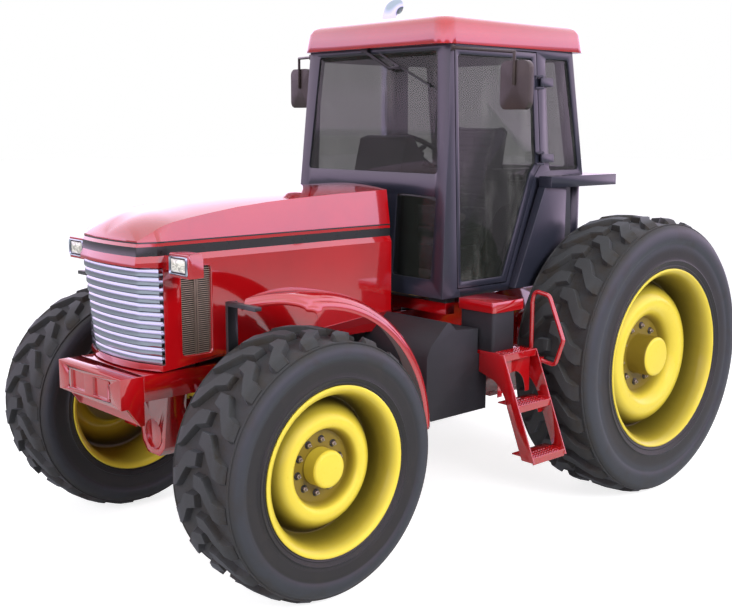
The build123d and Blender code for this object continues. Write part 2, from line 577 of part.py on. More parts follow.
# ------------------------------------------------------------------- cab
SIDE_PLANE = Plane(origin=(CAB_HALF_BOTTOM, 0, CAB_BOTTOM), x_dir=(0, 1, 0),
                   z_dir=(math.cos(SIDE_LEAN), 0, math.sin(SIDE_LEAN)))
FRONT_PLANE = Plane(origin=(0, ahead(FRONT_FOOT), CAB_BOTTOM), x_dir=(1, 0, 0),
                    z_dir=(0, -math.cos(FRONT_LEAN), math.sin(FRONT_LEAN)))
REAR_PLANE = Plane(origin=(0, ahead(REAR_FOOT), DECK_TOP), x_dir=(-1, 0, 0),
                   z_dir=(0, math.cos(REAR_LEAN), math.sin(REAR_LEAN)))


def side_points(points):
    """(ahead, height) points as places on the leaning side plane."""
    return [(ahead(d), (z - CAB_BOTTOM) / math.cos(SIDE_LEAN)) for d, z in points]


def front_points(points):
    """(x, height) points as places on the leaning front plane."""
    return [(x, (z - CAB_BOTTOM) / math.cos(FRONT_LEAN)) for x, z in points]


def rear_points(points):
    return [(x, (z - DECK_TOP) / math.cos(REAR_LEAN)) for x, z in points]


def both_sides(points):
    """A symmetric outline from the points of its +x half."""
    return points + [(-x, z) for x, z in reversed(points)]


WINDSCREEN = both_sides([(594, 2072), (534, 2788)])
LOWER_WINDOW = [(262, 1450), (596, 1450), (596, 1940), (262, 1950)]
QUARTER = [(438, 2768), (205, 2768), (96, 2070), (400, 2070)]
REAR_WINDOW = both_sides([(560, 2090), (520, 2766)])
DOOR_OUTLINE = [(1262, 2800), (526, 2800), (490, 2112), (552, 2042), (836, 1398), (1270, 1398)]
DOOR_GLASS = [(1238, 2764), (564, 2764), (532, 2122), (590, 2064), (866, 1434), (1244, 1434)]


GLASS_CORNER = 24.0


def grown(points, amount, corner=0.0):
    """The outline moved outwards by an amount, with sharp corners or corners of a radius."""
    with BuildSketch() as wide:
        with BuildLine():
            Polyline(*points, close=True)
        make_face()
        offset(amount=amount, kind=Kind.INTERSECTION)
        if corner:
            fillet(wide.vertices(), corner + amount)
    return wide.sketch


def opening(plane, sketch, both=150):
    """Cut a sketch right through the wall on a plane."""
    extrude(plane * sketch, amount=both, both=True, mode=Mode.SUBTRACT)


cab_side = [(FRONT_FOOT, CAB_BOTTOM), (FRONT_HEAD, CAB_TOP), (REAR_HEAD, CAB_TOP),
            (REAR_FOOT, DECK_TOP), (WELL_REAR, DECK_TOP), (WELL_REAR, CAB_BOTTOM)]
hollow_side = [(FRONT_FOOT - CAB_WALL + 3, CAB_BOTTOM - 40), (FRONT_HEAD - CAB_WALL - 3, CAB_TOP + 40),
               (REAR_HEAD + CAB_WALL + 6, CAB_TOP + 40), (REAR_FOOT + CAB_WALL - 6, DECK_TOP - 40),
               (WELL_REAR + CAB_WALL, DECK_TOP - 40), (WELL_REAR + CAB_WALL, CAB_BOTTOM - 40)]
with BuildPart() as cab_shell:
    side_plate(cab_side, (-CAB_HALF_BOTTOM, CAB_HALF_BOTTOM))
    plate(Plane.XZ.offset(-ahead(-300)), both_sides([(CAB_HALF_BOTTOM, CAB_BOTTOM),
                                                     (CAB_HALF_TOP, CAB_TOP)]), 2200,
          mode=Mode.INTERSECT)
    with BuildPart(mode=Mode.PRIVATE) as hollow:
        side_plate(hollow_side, (-CAB_HALF_BOTTOM, CAB_HALF_BOTTOM))
        plate(Plane.XZ.offset(-ahead(-300)),
              both_sides([(CAB_HALF_BOTTOM - CAB_WALL + 2, CAB_BOTTOM - 40),
                          (CAB_HALF_TOP - CAB_WALL - 2, CAB_TOP + 40)]), 2200,
              mode=Mode.INTERSECT)
    add(hollow.part, mode=Mode.SUBTRACT)
    opening(FRONT_PLANE, grown(front_points(WINDSCREEN), 0.0, GLASS_CORNER))
    for side in (-1, 1):
        opening(FRONT_PLANE, grown(front_points([(side * x, z) for x, z in LOWER_WINDOW]), 0.0,
                                   GLASS_CORNER))
    opening(REAR_PLANE, grown(rear_points(REAR_WINDOW), 0.0, GLASS_CORNER))

FRONT_SPLIT = 1252.0            # the front wall with its posts ends here
REAR_SPLIT = 400.0
REAR_POST = 585.0               # inner edge of the rear corner posts


def make_side(openings):
    """The +x side wall between the front and rear walls, with its openings."""
    with BuildPart() as wall:
        add(cab_shell.part)
        block((0, CAB_HALF_BOTTOM), (FRONT_SPLIT, -300), (CAB_BOTTOM, CAB_TOP), mode=Mode.INTERSECT)
        block((0, REAR_POST), (REAR_SPLIT, -300), (CAB_BOTTOM, CAB_TOP), mode=Mode.SUBTRACT)
        for sketch in openings:
            opening(SIDE_PLANE, sketch)
    return wall.part


door_hole = grown(side_points(DOOR_OUTLINE), DOOR_GAP)
quarter_hole = grown(side_points(QUARTER), 0.0, GLASS_CORNER)
right_hole = grown(side_points(DOOR_GLASS), 0.0, GLASS_CORNER)
save(mirrored(make_side([quarter_hole, right_hole])), "cab_right")

with BuildPart() as cab_front:
    add(cab_shell.part)
    block((-CAB_HALF_BOTTOM, CAB_HALF_BOTTOM), (1500, FRONT_SPLIT), (CAB_BOTTOM, CAB_TOP),
          mode=Mode.INTERSECT)
    opening(SIDE_PLANE, door_hole)
save(cab_front.part, "cab_front")

with BuildPart() as cab_rear:
    add(cab_shell.part)
    block((-REAR_POST, REAR_POST), (REAR_SPLIT, -300), (CAB_BOTTOM, CAB_TOP), mode=Mode.INTERSECT)
save(cab_rear.part, "cab_rear")


def pane(plane, points, depth, side=1):
    """A flat pane set in the middle of its wall, just clear of the frame."""
    face = grown(points, -RUN_GAP, GLASS_CORNER)
    with BuildPart() as glass:
        extrude(plane.offset(-depth) * face, amount=GLASS)
    return glass.part if side == 1 else mirrored(glass.part)


WINDSCREEN_SET = 12.0           # from the wall's face in to the back of the glass
save(pane(FRONT_PLANE, front_points(WINDSCREEN), WINDSCREEN_SET), "windscreen")
with BuildPart() as lower_windows:
    for side in (-1, 1):
        add(pane(FRONT_PLANE, front_points(LOWER_WINDOW), 14, side))
save(lower_windows.part, "lower_windows")
with BuildPart() as side_windows:
    add(pane(SIDE_PLANE, side_points(QUARTER), 14))
    add(pane(SIDE_PLANE, side_points(QUARTER), 14, -1))
    add(pane(SIDE_PLANE, side_points(DOOR_GLASS), 14, -1))
save(side_windows.part, "side_windows")
save(pane(REAR_PLANE, rear_points(REAR_WINDOW), 14), "rear_window")

# floor, with the tunnel behind the seat closed by the rear wall
with BuildPart() as cab_floor:
    side_x = CAB_HALF_BOTTOM - CAB_WALL - 5
    block((-side_x, side_x), (FRONT_FOOT - CAB_WALL - 7, WELL_REAR + CAB_WALL),
          (CAB_BOTTOM, FLOOR_TOP))
    for side in (-1, 1):
        block((side * 480, side * 620), FRONT_MOUNT, (FRONT_MOUNT_TOP, CAB_BOTTOM))
save(cab_floor.part, "cab_floor")

with BuildPart() as cab_mounts:
    for side in (-1, 1):
        with BuildSketch(Plane.XY.offset(1215)):
            with Locations((side * 550, ahead(0))):
                Circle(48)
        extrude(amount=DECK_TOP - DECK_DEPTH - 1215)
save(cab_mounts.part, "cab_mounts")

# ------------------------------------------------------------------ roof
ROOF_HALF = 655.0
ROOF_FRONT = 1366.0
ROOF_REAR = 20.0
ROOF_SECTIONS = (               # height over the cab, inset, corner radius
    (0, 0, 95), (112, 14, 95), (140, 30, 90), (160, 64, 80), (178, 130, 60), (192, 240, 50), (198, 400, 40),
)
with BuildPart() as roof:
    for up, inset, corner in ROOF_SECTIONS:
        with BuildSketch(Plane.XY.offset(CAB_TOP + up)):
            with Locations((0, ahead((ROOF_FRONT + ROOF_REAR) / 2))):
                RectangleRounded(2 * (ROOF_HALF - inset), ROOF_FRONT - ROOF_REAR - 2 * inset, corner)
    loft(ruled=True)
save(roof.part, "roof")

# ------------------------------------------------------------------ door
HINGE_AHEAD = 500.0
HINGE_OUT = 26.0                # the hinge line stands this far outside the side plane
HINGE_HEIGHTS = (2150.0, 2620.0)
HINGE_R = 14.0
DOOR_DEPTH = 32.0


def on_hinge(height):
    """A point of the hinge line, which follows the lean of the side."""
    up = (height - CAB_BOTTOM) / math.cos(SIDE_LEAN)
    return SIDE_PLANE.from_local_coords(Vector(ahead(HINGE_AHEAD), up, HINGE_OUT))


def hinge_plane(height):
    """Plane across the hinge line: x runs forwards and y outwards."""
    return Plane(origin=on_hinge(height), x_dir=(0, -1, 0), z_dir=SIDE_PLANE.y_dir)


HINGE_HALF = 26.0
HINGE_EAR = 14.0
HINGE_SPACE = 3.0
HINGE_PIN = 7.0

with BuildPart() as cab_left:
    add(make_side([quarter_hole, door_hole]))
    # hinge blocks on the post behind the door, each with its pin
    for height in HINGE_HEIGHTS:
        plane = hinge_plane(height)
        plate(plane.offset(-HINGE_HALF), [(-22, -HINGE_OUT), (-22, -13), (0, -13), (0, 13), (-96, 13),
                                          (-96, -HINGE_OUT)], 2 * HINGE_HALF)
        with BuildSketch(plane.offset(-HINGE_HALF)):
            Circle(13)
        extrude(amount=2 * HINGE_HALF)
        with BuildSketch(plane.offset(-HINGE_HALF - HINGE_SPACE - HINGE_EAR)):
            Circle(HINGE_PIN)
        extrude(amount=2 * (HINGE_HALF + HINGE_SPACE + HINGE_EAR))
save(cab_left.part, "cab_left")

with BuildPart() as door:
    extrude(SIDE_PLANE.offset(-DOOR_DEPTH) * grown(side_points(DOOR_OUTLINE), 0.0),
            amount=DOOR_DEPTH)
    opening(SIDE_PLANE, grown(side_points(DOOR_GLASS), 0.0, GLASS_CORNER))
    for height in HINGE_HEIGHTS:
        for foot in (HINGE_HALF + HINGE_SPACE, -HINGE_HALF - HINGE_SPACE - HINGE_EAR):
            plane = hinge_plane(height).offset(foot)
            plate(plane, [(0, -13), (6, -HINGE_OUT), (38, -HINGE_OUT), (38, -16), (10, 13), (0, 13)],
                  HINGE_EAR)
            with BuildSketch(plane):
                Circle(13)
            extrude(amount=HINGE_EAR)
            with BuildSketch(plane.offset(-1)):
                Circle(HINGE_PIN + RUN_GAP)
            extrude(amount=HINGE_EAR + 2, mode=Mode.SUBTRACT)
save(door.part, "door_frame")
save(pane(SIDE_PLANE, side_points(DOOR_GLASS), 16), "door_glass")

with BuildPart() as wheel_house:
    for x in ((CAB_HALF_BOTTOM, 755), (-755, -CAB_HALF_BOTTOM)):
        side_plate([(812, 1360), (545, DECK_TOP - DECK_DEPTH), (330, DECK_TOP - DECK_DEPTH),
                    (330, 1360)], x)
save(wheel_house.part, "wheel_house")

# -------------------------------------------------------------- interior
WHEEL_CENTRE = (0.0, 930.0, 2190.0)
WHEEL_TILT = 32.0
wheel_axis = Vector(0, math.sin(math.radians(WHEEL_TILT)), math.cos(math.radians(WHEEL_TILT)))
WHEEL_PLANE = Plane(origin=(0, ahead(WHEEL_CENTRE[1]), WHEEL_CENTRE[2]), x_dir=(1, 0, 0),
                    z_dir=wheel_axis)
STEER_RIM_R = 190.0
STEER_GRIP_R = 15.0

with BuildPart() as dashboard:
    side_plate([(1345, FLOOR_TOP), (1290, 2060), (1235, 2270), (1175, 2290), (1080, 2150),
                (1130, 1950), (1110, FLOOR_TOP)], (-210, 210))
    with BuildSketch(WHEEL_PLANE.offset(-340)):
        Circle(38)
    extrude(amount=300)
    with BuildSketch(WHEEL_PLANE.offset(-60)):
        Circle(14)
    extrude(amount=50)
save(dashboard.part, "dashboard")

with BuildPart() as steering_wheel:
    with BuildSketch(Plane(origin=WHEEL_PLANE.origin, x_dir=(1, 0, 0), z_dir=-WHEEL_PLANE.y_dir)):
        with Locations((STEER_RIM_R, 0)):
            Circle(STEER_GRIP_R)
    revolve(axis=Axis(WHEEL_PLANE.origin, wheel_axis))
    with BuildSketch(WHEEL_PLANE.offset(-30)):
        Circle(52)
    extrude(amount=30)
    with BuildSketch(WHEEL_PLANE.offset(-22)):
        with PolarLocations(STEER_RIM_R / 2 + 17, 3, start_angle=90):
            Rectangle(STEER_RIM_R - 46, 28)
    extrude(amount=16)
    with BuildSketch(WHEEL_PLANE.offset(-31)):
        Circle(14 + RUN_GAP)
    extrude(amount=22, mode=Mode.SUBTRACT)
save(steering_wheel.part, "steering_wheel")

BACK_FOOT = 372.0               # foot of the back cushion's rear face
with BuildPart() as seat_base:
    block((-210, 210), (800, 440), (FLOOR_TOP, 1560))
    block((-150, 150), (760, 480), (1560, 1640))
    block((-240, 240), (840, 372), (1640, 1690))
    side_plate([(399, 1640), (BACK_FOOT - 3 * RUN_GAP, 1822), (271.4, 2320), (241, 2320), (341, 1822),
                (367, 1640)], (-180, 180))
save(seat_base.part, "seat_base")

with BuildPart() as seat_pads:
    block((-255, 255), (865, 400), (1690 + RUN_GAP, 1820))
    side_plate([(400, 1820 + RUN_GAP), (BACK_FOOT, 1820 + RUN_GAP), (262, 2370), (345, 2370),
                (440, 2100), (475, 1820 + RUN_GAP)], (-245, 245))
    fillet(seat_pads.edges().filter_by(Axis.X), 12)
save(seat_pads.part, "seat_pads")

CONSOLE_X = (400.0, CAB_HALF_BOTTOM - CAB_WALL - 37)
with BuildPart() as side_consoles:
    for side in (-1, 1):
        side_plate([(840, FLOOR_TOP), (640, 2010), (WELL_REAR + CAB_WALL, 2010),
                    (WELL_REAR + CAB_WALL, FLOOR_TOP)],
                   (side * CONSOLE_X[0], side * CONSOLE_X[1]))
        block((side * 410, side * 530), (720, 300), (2010, 2080))
save(side_consoles.part, "side_consoles")

# ------------------------------------------------------------------ hood
HOOD_STRIPE = 1660.0            # the side panels end here in a ledge below the black band
LEDGE_TOP = 1700.0
LEDGE_IN = 12.0
BAND_TOP = 1775.0
CREASE_IN = 30.0                # the crease line lies this far inside the side panels
HOOD_SECTIONS = (               # ahead of the front axle, half width, crease height, crest height
    (HOOD_REAR - WHEELBASE, 380, 1972, 2000),
    (-430, 380, 1962, 1992),
    (-20, 379, 1936, 1970),
    (230, 377, 1898, 1938),
    (420, 373, 1852, 1906),
    (520, 366, 1800, 1860),
    (640, 356, 1740, 1766),
)
HOOD_BOTTOM = [(HOOD_REAR, 1263), (WHEELBASE - 330, 1190), (WHEELBASE + 430, 1120),
               (WHEELBASE + 670, 1108)]
# the nose in plan, ahead of the front axle: the side's end, the fold's half width, the fold, the middle
UPPER_NOSE = (488, 303, 560, 588)
LOWER_NOSE = (470, 285, 542, 570)
NOSE_HALF = 372.0               # half width at the side's end
FOLD_LEVEL = 1640.0             # below this height the folds of the lower nose draw together
FOLD_TAPER = 0.08


def nose_form(nose, levels):
    """A form with the hood's straight sides, its chamfered corners and its bowed front.

    Each level is a height and how far the plan is drawn in there.
    """
    start, fold_x, fold, middle = nose
    rear = ahead(HOOD_REAR - 500)
    with BuildPart() as form:
        for height, inset in levels:
            half = fold_x - 0.7 * inset - FOLD_TAPER * max(0, FOLD_LEVEL - height)
            side_end = (NOSE_HALF - inset, ahead(WHEELBASE + start - 0.4 * inset))
            fold_y = ahead(WHEELBASE + fold - inset)
            with BuildSketch(Plane.XY.offset(height)):
                with BuildLine():
                    right = Polyline((404 - inset, rear), (400 - inset, ahead(WHEELBASE)), side_end,
                                     (half, fold_y))
                    front = ThreePointArc(right @ 1, (0, ahead(WHEELBASE + middle - inset)),
                                          (-half, fold_y))
                    Polyline(front @ 1, (-side_end[0], side_end[1]), (inset - 400, ahead(WHEELBASE)),
                             (inset - 404, rear), right @ 0)
                make_face()
        loft(ruled=True)
    return form.part


def hood_form(inset):
    """The hood's solid shape, drawn in by an inset: lofted top, bowed nose, open rear."""
    ledge = LEDGE_IN + inset
    with BuildPart() as form:
        for place, half, crease, crest in HOOD_SECTIONS:
            at = WHEELBASE + place - (60 if inset and place == HOOD_SECTIONS[0][0] else 0)
            crease, crest = crease - inset, crest - inset
            side = [(half - inset, 1000), (half - inset, HOOD_STRIPE + inset / 2),
                    (half - ledge, LEDGE_TOP + inset / 2), (half - ledge, BAND_TOP - 70)]
            with BuildSketch(Plane.XZ.offset(-ahead(at))):
                with BuildLine():
                    wall = Polyline(*[(-x, z) for x, z in side[:3]], (ledge - half, min(BAND_TOP, crease - 20)),
                                    (CREASE_IN + inset - half, crease))
                    top = ThreePointArc(wall @ 1, (0, crest), (half - CREASE_IN - inset, crease))
                    Polyline(top @ 1, (half - ledge, min(BAND_TOP, crease - 20)), *side[2::-1],
                             (inset - half, 1000))
                make_face()
        loft(ruled=True)
    with BuildPart() as shaped:
        add(nose_form(UPPER_NOSE, ((HOOD_STRIPE + inset, inset), (LEDGE_TOP + inset, ledge),
                                   (2100, ledge))))
        add(nose_form(LOWER_NOSE, ((1000, inset), (HOOD_STRIPE + 2 * inset, inset))))
        add(form.part, mode=Mode.INTERSECT)
    return shaped.part


GRILLE_LOW = 1142.0
GRILLE_HIGH = 1640.0
GRILLE_SIDE = WHEELBASE + 455   # the grille's side edges, ahead of the rear axle
SCREEN_LENGTH = (WHEELBASE + 360, WHEELBASE + 162)   # front and rear edge of the side screens
SCREEN_HEIGHT = (1172.0, 1650.0)
SCREEN_X = 374.0                # outer face of the screens
LAMP_Z = 1673.0
LAMP_FACE = WHEELBASE + 458
LAMP_POD = 112.0                # length of the lamp pods
LAMP_X = (450.0, 598.0)
LAMP_HALF = 56.0
POD_ROOT = 362.0                # the pods start inside the hood's side
EAR_X = 118.0

with BuildPart() as hood:
    add(hood_form(0))
    for side in (-1, 1):
        # lamp pod on the shoulder, a little smaller at its rear
        for at, outer, half in ((LAMP_FACE, LAMP_X[1], LAMP_HALF),
                                (LAMP_FACE - LAMP_POD, LAMP_X[1] - 22, LAMP_HALF - 9)):
            with BuildSketch(Plane.XZ.offset(-ahead(at))):
                with Locations((side * (outer + POD_ROOT) / 2, LAMP_Z)):
                    Rectangle(outer - POD_ROOT, 2 * half)
        loft(ruled=True)
    add(hood_form(SHEET), mode=Mode.SUBTRACT)
    side_plate([(HOOD_REAR - 100, 900), *HOOD_BOTTOM, (FRONT_REACH + 80, 900)], (-500, 500), mode=Mode.SUBTRACT)
    block((-400, 400), (FRONT_REACH, GRILLE_SIDE), (GRILLE_LOW, GRILLE_HIGH), mode=Mode.SUBTRACT)
    block((-500, 500), SCREEN_LENGTH, SCREEN_HEIGHT, mode=Mode.SUBTRACT)
    for side in (-1, 1):
        # ears that hang on the hinge pin
        side_plate([(HOOD_HINGE[0] + 40, 1992), (HOOD_HINGE[0] - 40, 1992),
                    (HOOD_HINGE[0] - 24, HOOD_HINGE[1] - 22), (HOOD_HINGE[0] + 24, HOOD_HINGE[1] - 22)],
                   (side * EAR_X, side * (EAR_X + 14)))
        block((side * LAMP_X[0], side * (LAMP_X[1] - 8)), (LAMP_FACE + 10, LAMP_FACE - 30),
              (LAMP_Z - LAMP_HALF + 8, LAMP_Z + LAMP_HALF - 8), mode=Mode.SUBTRACT)
    rod((-300, *HOOD_HINGE), (300, *HOOD_HINGE), HINGE_PIN_R + RUN_GAP, mode=Mode.SUBTRACT)
save(hood.part, "hood")

with BuildPart() as headlights:
    for side in (-1, 1):
        block((side * (LAMP_X[0] + 1), side * (LAMP_X[1] - 9)), (LAMP_FACE - 6, LAMP_FACE - 29.7),
              (LAMP_Z - LAMP_HALF + 9, LAMP_Z + LAMP_HALF - 9))
save(headlights.part, "headlights")

LOUVRE_COUNT = 11
LOUVRE_GAP = 5.0                # between the louvres' rounded backs
LOUVRE_BOW = 8.0                # the louvres' faces stand out this much at mid height
LOUVRE_DEPTH = 26.0
with BuildPart() as grille:
    pitch = (GRILLE_HIGH - GRILLE_LOW - 2 * RUN_GAP + LOUVRE_GAP) / LOUVRE_COUNT
    louvre_half = (pitch - LOUVRE_GAP) / 2
    for row in range(LOUVRE_COUNT):
        middle = GRILLE_LOW + RUN_GAP + louvre_half + row * pitch
        add(nose_form(LOWER_NOSE, ((middle - louvre_half, 2 + LOUVRE_BOW), (middle, 2),
                                   (middle + louvre_half, 2 + LOUVRE_BOW))))
    with BuildPart(mode=Mode.PRIVATE) as behind:
        add(nose_form(LOWER_NOSE, ((1000, LOUVRE_DEPTH), (1700, LOUVRE_DEPTH))))
    add(behind.part, mode=Mode.SUBTRACT)
    block((-500, 500), (GRILLE_SIDE + RUN_GAP, 900), (1000, 1700), mode=Mode.SUBTRACT)
    # upright bars behind the louvres
    bar = (GRILLE_LOW + RUN_GAP, GRILLE_HIGH - RUN_GAP)
    for x, face in ((-200, 540), (0, 552), (200, 540)):
        block((x - 8, x + 8), (WHEELBASE + face, WHEELBASE + 504), bar)
    for side in (-1, 1):
        block((side * 314, side * 344), (GRILLE_SIDE + 16, GRILLE_SIDE + 2), bar)
save(grille.part, "grille")

with BuildPart() as side_screens:
    screen_middle = sum(SCREEN_LENGTH) / 2
    screen_z = (SCREEN_HEIGHT[0] + RUN_GAP, SCREEN_HEIGHT[1] - RUN_GAP)
    for side in (-1, 1):
        block((side * (SCREEN_X - 3), side * SCREEN_X),
              (SCREEN_LENGTH[0] - RUN_GAP, SCREEN_LENGTH[1] + RUN_GAP), screen_z)
        block((side * (SCREEN_X - 6), side * (SCREEN_X + 2)),
              (screen_middle + 7, screen_middle - 7), screen_z)
save(side_screens.part, "side_screens")

# ------------------------------------------------ mirrors, stack and lights
MIRROR_WIDTH = 200.0
MIRROR_HEIGHT = 260.0
with BuildPart() as mirror_foot:
    plate(SIDE_PLANE.offset(RUN_GAP), side_points([(1298, 2780), (1272, 2780), (1272, 2812),
                                                   (1298, 2812)]), 14)

with BuildPart() as mirrors:
    add(mirror_foot.part)
    add(mirrored(mirror_foot.part))
    for foot, elbow, head in (((643, 1285, 2796), (1165, 1362, 2745), (1165, 1362, 2570)),
                              ((-643, 1285, 2796), (-860, 1215, 2800), (-860, 1215, 2600))):
        rod(foot, elbow, 9)
        rod(elbow, (elbow[0], elbow[1], head[2]), 9)
        with Locations((elbow[0], ahead(elbow[1]), elbow[2])):
            Sphere(9)
        with BuildSketch(Plane.XZ.offset(-ahead(head[1] - 46))) as shell:
            with Locations((head[0], head[2])):
                RectangleRounded(MIRROR_WIDTH, MIRROR_HEIGHT, 42)
        extrude(amount=40)
save(mirrors.part, "mirrors")

STACK_X = -755.0
STACK_AHEAD = 470.0
STACK_R = 53.0
with BuildPart() as exhaust:
    with BuildLine() as pipe:
        run = Line((STACK_X, ahead(STACK_AHEAD), DECK_TOP), (STACK_X, ahead(STACK_AHEAD), 3110))
        TangentArc(run @ 1, (STACK_X, ahead(STACK_AHEAD - 90), 3196), tangent=run % 1)
    with BuildSketch(Plane(origin=pipe.line @ 0, z_dir=pipe.line % 0)):
        Circle(STACK_R)
    sweep(path=pipe.line)
    with BuildSketch(Plane(origin=pipe.line @ 0, z_dir=pipe.line % 0)):
        Circle(STACK_R - 3)
    sweep(path=pipe.line, mode=Mode.SUBTRACT)
    with BuildSketch(Plane.XY.offset(DECK_TOP)):
        with Locations((STACK_X, ahead(STACK_AHEAD))):
            RectangleRounded(2 * STACK_R + 34, 2 * STACK_R + 34, 20)
            Circle(STACK_R - 3, mode=Mode.SUBTRACT)
    extrude(amount=12)
save(exhaust.part, "exhaust_stack")

with BuildPart() as wiper:
    # spindle housing on the header, arm with its hooked end, blade and rubber
    plate(FRONT_PLANE.offset(RUN_GAP), front_points([(-106, 2795), (-50, 2795), (-50, 2817),
                                                     (-106, 2817)]), 26)
    plate(FRONT_PLANE.offset(16), front_points([(-86, 2799), (-72, 2811), (156, 2699), (240, 2707),
                                                (240, 2693), (152, 2684)]), 8)
    plate(FRONT_PLANE.offset(8), front_points([(55, 2778), (59, 2788), (504, 2586), (500, 2576)]), 8)
    plate(FRONT_PLANE.offset(GLASS - WINDSCREEN_SET + RUN_GAP),
          front_points([(56, 2780), (58, 2784), (502, 2582), (500, 2578)]), 14)
save(wiper.part, "wiper")

with BuildPart() as tail_lights:
    for side in (-1, 1):
        block((side * 640, side * 780), (DECK_REAR, DECK_REAR - 25), (DECK_TOP - 60, DECK_TOP - 10))
save(tail_lights.part, "tail_lights")

# ------------------------------------------- drawbar, shaft and rear linkage
with BuildPart() as drawbar:
    block((-38, 38), (200, DRAWBAR_END), (430, 468))
    block((-70, 70), (180, -250), (468, 540))
    with BuildSketch(Plane.XY.offset(430)):
        with Locations((0, ahead(DRAWBAR_END + 45))):
            Circle(DRAWBAR_PIN_R)
    extrude(amount=60, mode=Mode.SUBTRACT)
save(drawbar.part, "drawbar")

with BuildPart() as pto_shaft:
    rod((0, CASE_REAR + 58, PTO_Z), (0, CASE_REAR - PTO_BOSS - 4, PTO_Z), PTO_JOURNAL_R)
    rod((0, CASE_REAR - PTO_BOSS - 4, PTO_Z), (0, PTO_STUB, PTO_Z), PTO_R - 2.5)
    rod((0, PTO_STUB, PTO_Z), (0, PTO_END, PTO_Z), PTO_R)
save(pto_shaft.part, "pto_shaft")

def along(pivot, length):
    """A point on an arm or link, this far behind its pivot."""
    return (pivot[0] - length * math.cos(LINK_DROP), pivot[1] - length * math.sin(LINK_DROP))


arm_end = along(ARM_PIVOT, ARM_LENGTH)
rod_end = along(LINK_PIVOT, ARM_LENGTH)
with BuildPart() as rockshaft_arms:
    rod((-LINK_X - 40, *ARM_PIVOT), (LINK_X + 40, *ARM_PIVOT), ROCKSHAFT_R)
    for side in (-1, 1):
        for inner in (LINK_X - 34, LINK_X + 20):
            side_plate([(ARM_PIVOT[0] + 30, ARM_PIVOT[1] + 50), (arm_end[0], arm_end[1] + 30),
                        (arm_end[0] - 30, arm_end[1]), (arm_end[0], arm_end[1] - 30),
                        (ARM_PIVOT[0] + 30, ARM_PIVOT[1] - 50)], (side * inner, side * (inner + 14)))
        rod((side * (LINK_X - 34), *arm_end), (side * (LINK_X + 34), *arm_end), 12)
save(rockshaft_arms.part, "rockshaft_arms")

with BuildPart() as lift_rods:
    for side in (-1, 1):
        rod((side * LINK_X, *arm_end), (side * LINK_X, rod_end[0], rod_end[1]), 15)
        for end in (arm_end, rod_end):
            rod((side * (LINK_X - 15), *end), (side * (LINK_X + 15), *end), 32)
            rod((side * (LINK_X - 16), *end), (side * (LINK_X + 16), *end), 12 + RUN_GAP,
                mode=Mode.SUBTRACT)
save(lift_rods.part, "lift_rods")

with BuildPart() as lower_links:
    ball = along(LINK_PIVOT, LINK_LENGTH)
    bar_start = along(LINK_PIVOT, ARM_LENGTH + 30)
    for side in (-1, 1):
        for inner in (LINK_X - 34, LINK_X + 20):
            side_plate([(LINK_PIVOT[0] + 30, LINK_PIVOT[1] + 26), (rod_end[0] - 90, rod_end[1] + 34),
                        (rod_end[0] - 90, rod_end[1] - 34), (LINK_PIVOT[0] + 30, LINK_PIVOT[1] - 26)],
                       (side * inner, side * (inner + 14)))
        rod((side * (LINK_X - 34), *rod_end), (side * (LINK_X + 34), *rod_end), 12)
        rod((side * (LINK_X - 41), *LINK_PIVOT), (side * (LINK_X + 41), *LINK_PIVOT),
            LINK_PIN_R + RUN_GAP, mode=Mode.SUBTRACT)
        block((side * (LINK_X - 21), side * (LINK_X + 21)), (rod_end[0] - 52, rod_end[0] - 90),
              (rod_end[1] - 30, rod_end[1] + 24))
        rod((side * LINK_X, rod_end[0] - 70, rod_end[1] - 4), (side * LINK_END_X, *ball), 22)
        half = BALL_WIDTH / 2
        rod((side * (LINK_END_X - half), *ball), (side * (LINK_END_X + half), *ball), BALL_HOUSING_R)
        rod((side * (LINK_END_X - half - 1), *ball), (side * (LINK_END_X + half + 1), *ball),
            BALL_BORE_R, mode=Mode.SUBTRACT)
save(lower_links.part, "lower_links")
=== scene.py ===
# %% [markdown]
# # A farm tractor, dressed for its portrait
# The tractor's pieces already exist at their real size: this script loads them, gives each one a finish, and
# adds the pieces whose looks matter more than their fit, such as lugged tyres, a louvred grille and a padded
# seat. Everything is in metres. +Z is up, the front faces -Y and the left side, with the door, is +X.

import math

import bpy
import numpy as np
from mathutils import Matrix, Vector
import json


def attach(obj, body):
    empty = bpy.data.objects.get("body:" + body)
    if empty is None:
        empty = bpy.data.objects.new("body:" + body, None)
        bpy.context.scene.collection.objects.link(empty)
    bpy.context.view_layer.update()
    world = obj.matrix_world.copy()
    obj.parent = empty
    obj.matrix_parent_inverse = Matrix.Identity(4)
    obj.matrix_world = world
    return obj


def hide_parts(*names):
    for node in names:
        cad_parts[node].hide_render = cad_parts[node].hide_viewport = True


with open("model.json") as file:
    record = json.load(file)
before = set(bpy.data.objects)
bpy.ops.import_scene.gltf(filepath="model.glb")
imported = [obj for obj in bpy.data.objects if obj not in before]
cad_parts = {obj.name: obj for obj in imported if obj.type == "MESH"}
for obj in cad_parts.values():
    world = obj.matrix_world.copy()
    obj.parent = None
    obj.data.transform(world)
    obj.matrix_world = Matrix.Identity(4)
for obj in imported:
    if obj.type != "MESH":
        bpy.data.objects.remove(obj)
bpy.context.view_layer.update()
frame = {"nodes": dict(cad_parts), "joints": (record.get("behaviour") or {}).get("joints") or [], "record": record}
AXLE_FRONT_Y = frame["joints"][2]["pos_m"][1]
AXLE_REAR_Y = frame["joints"][0]["pos_m"][1]


def ahead(distance):
    """The y of a place given as metres ahead of the rear axle."""
    return AXLE_REAR_Y - distance


# %% [markdown]
# ## Camera
# The camera stands a little above the hood, ahead of the left front wheel, with a short telephoto lens, so
# that the wheels nearest to it look large without the cab leaning.

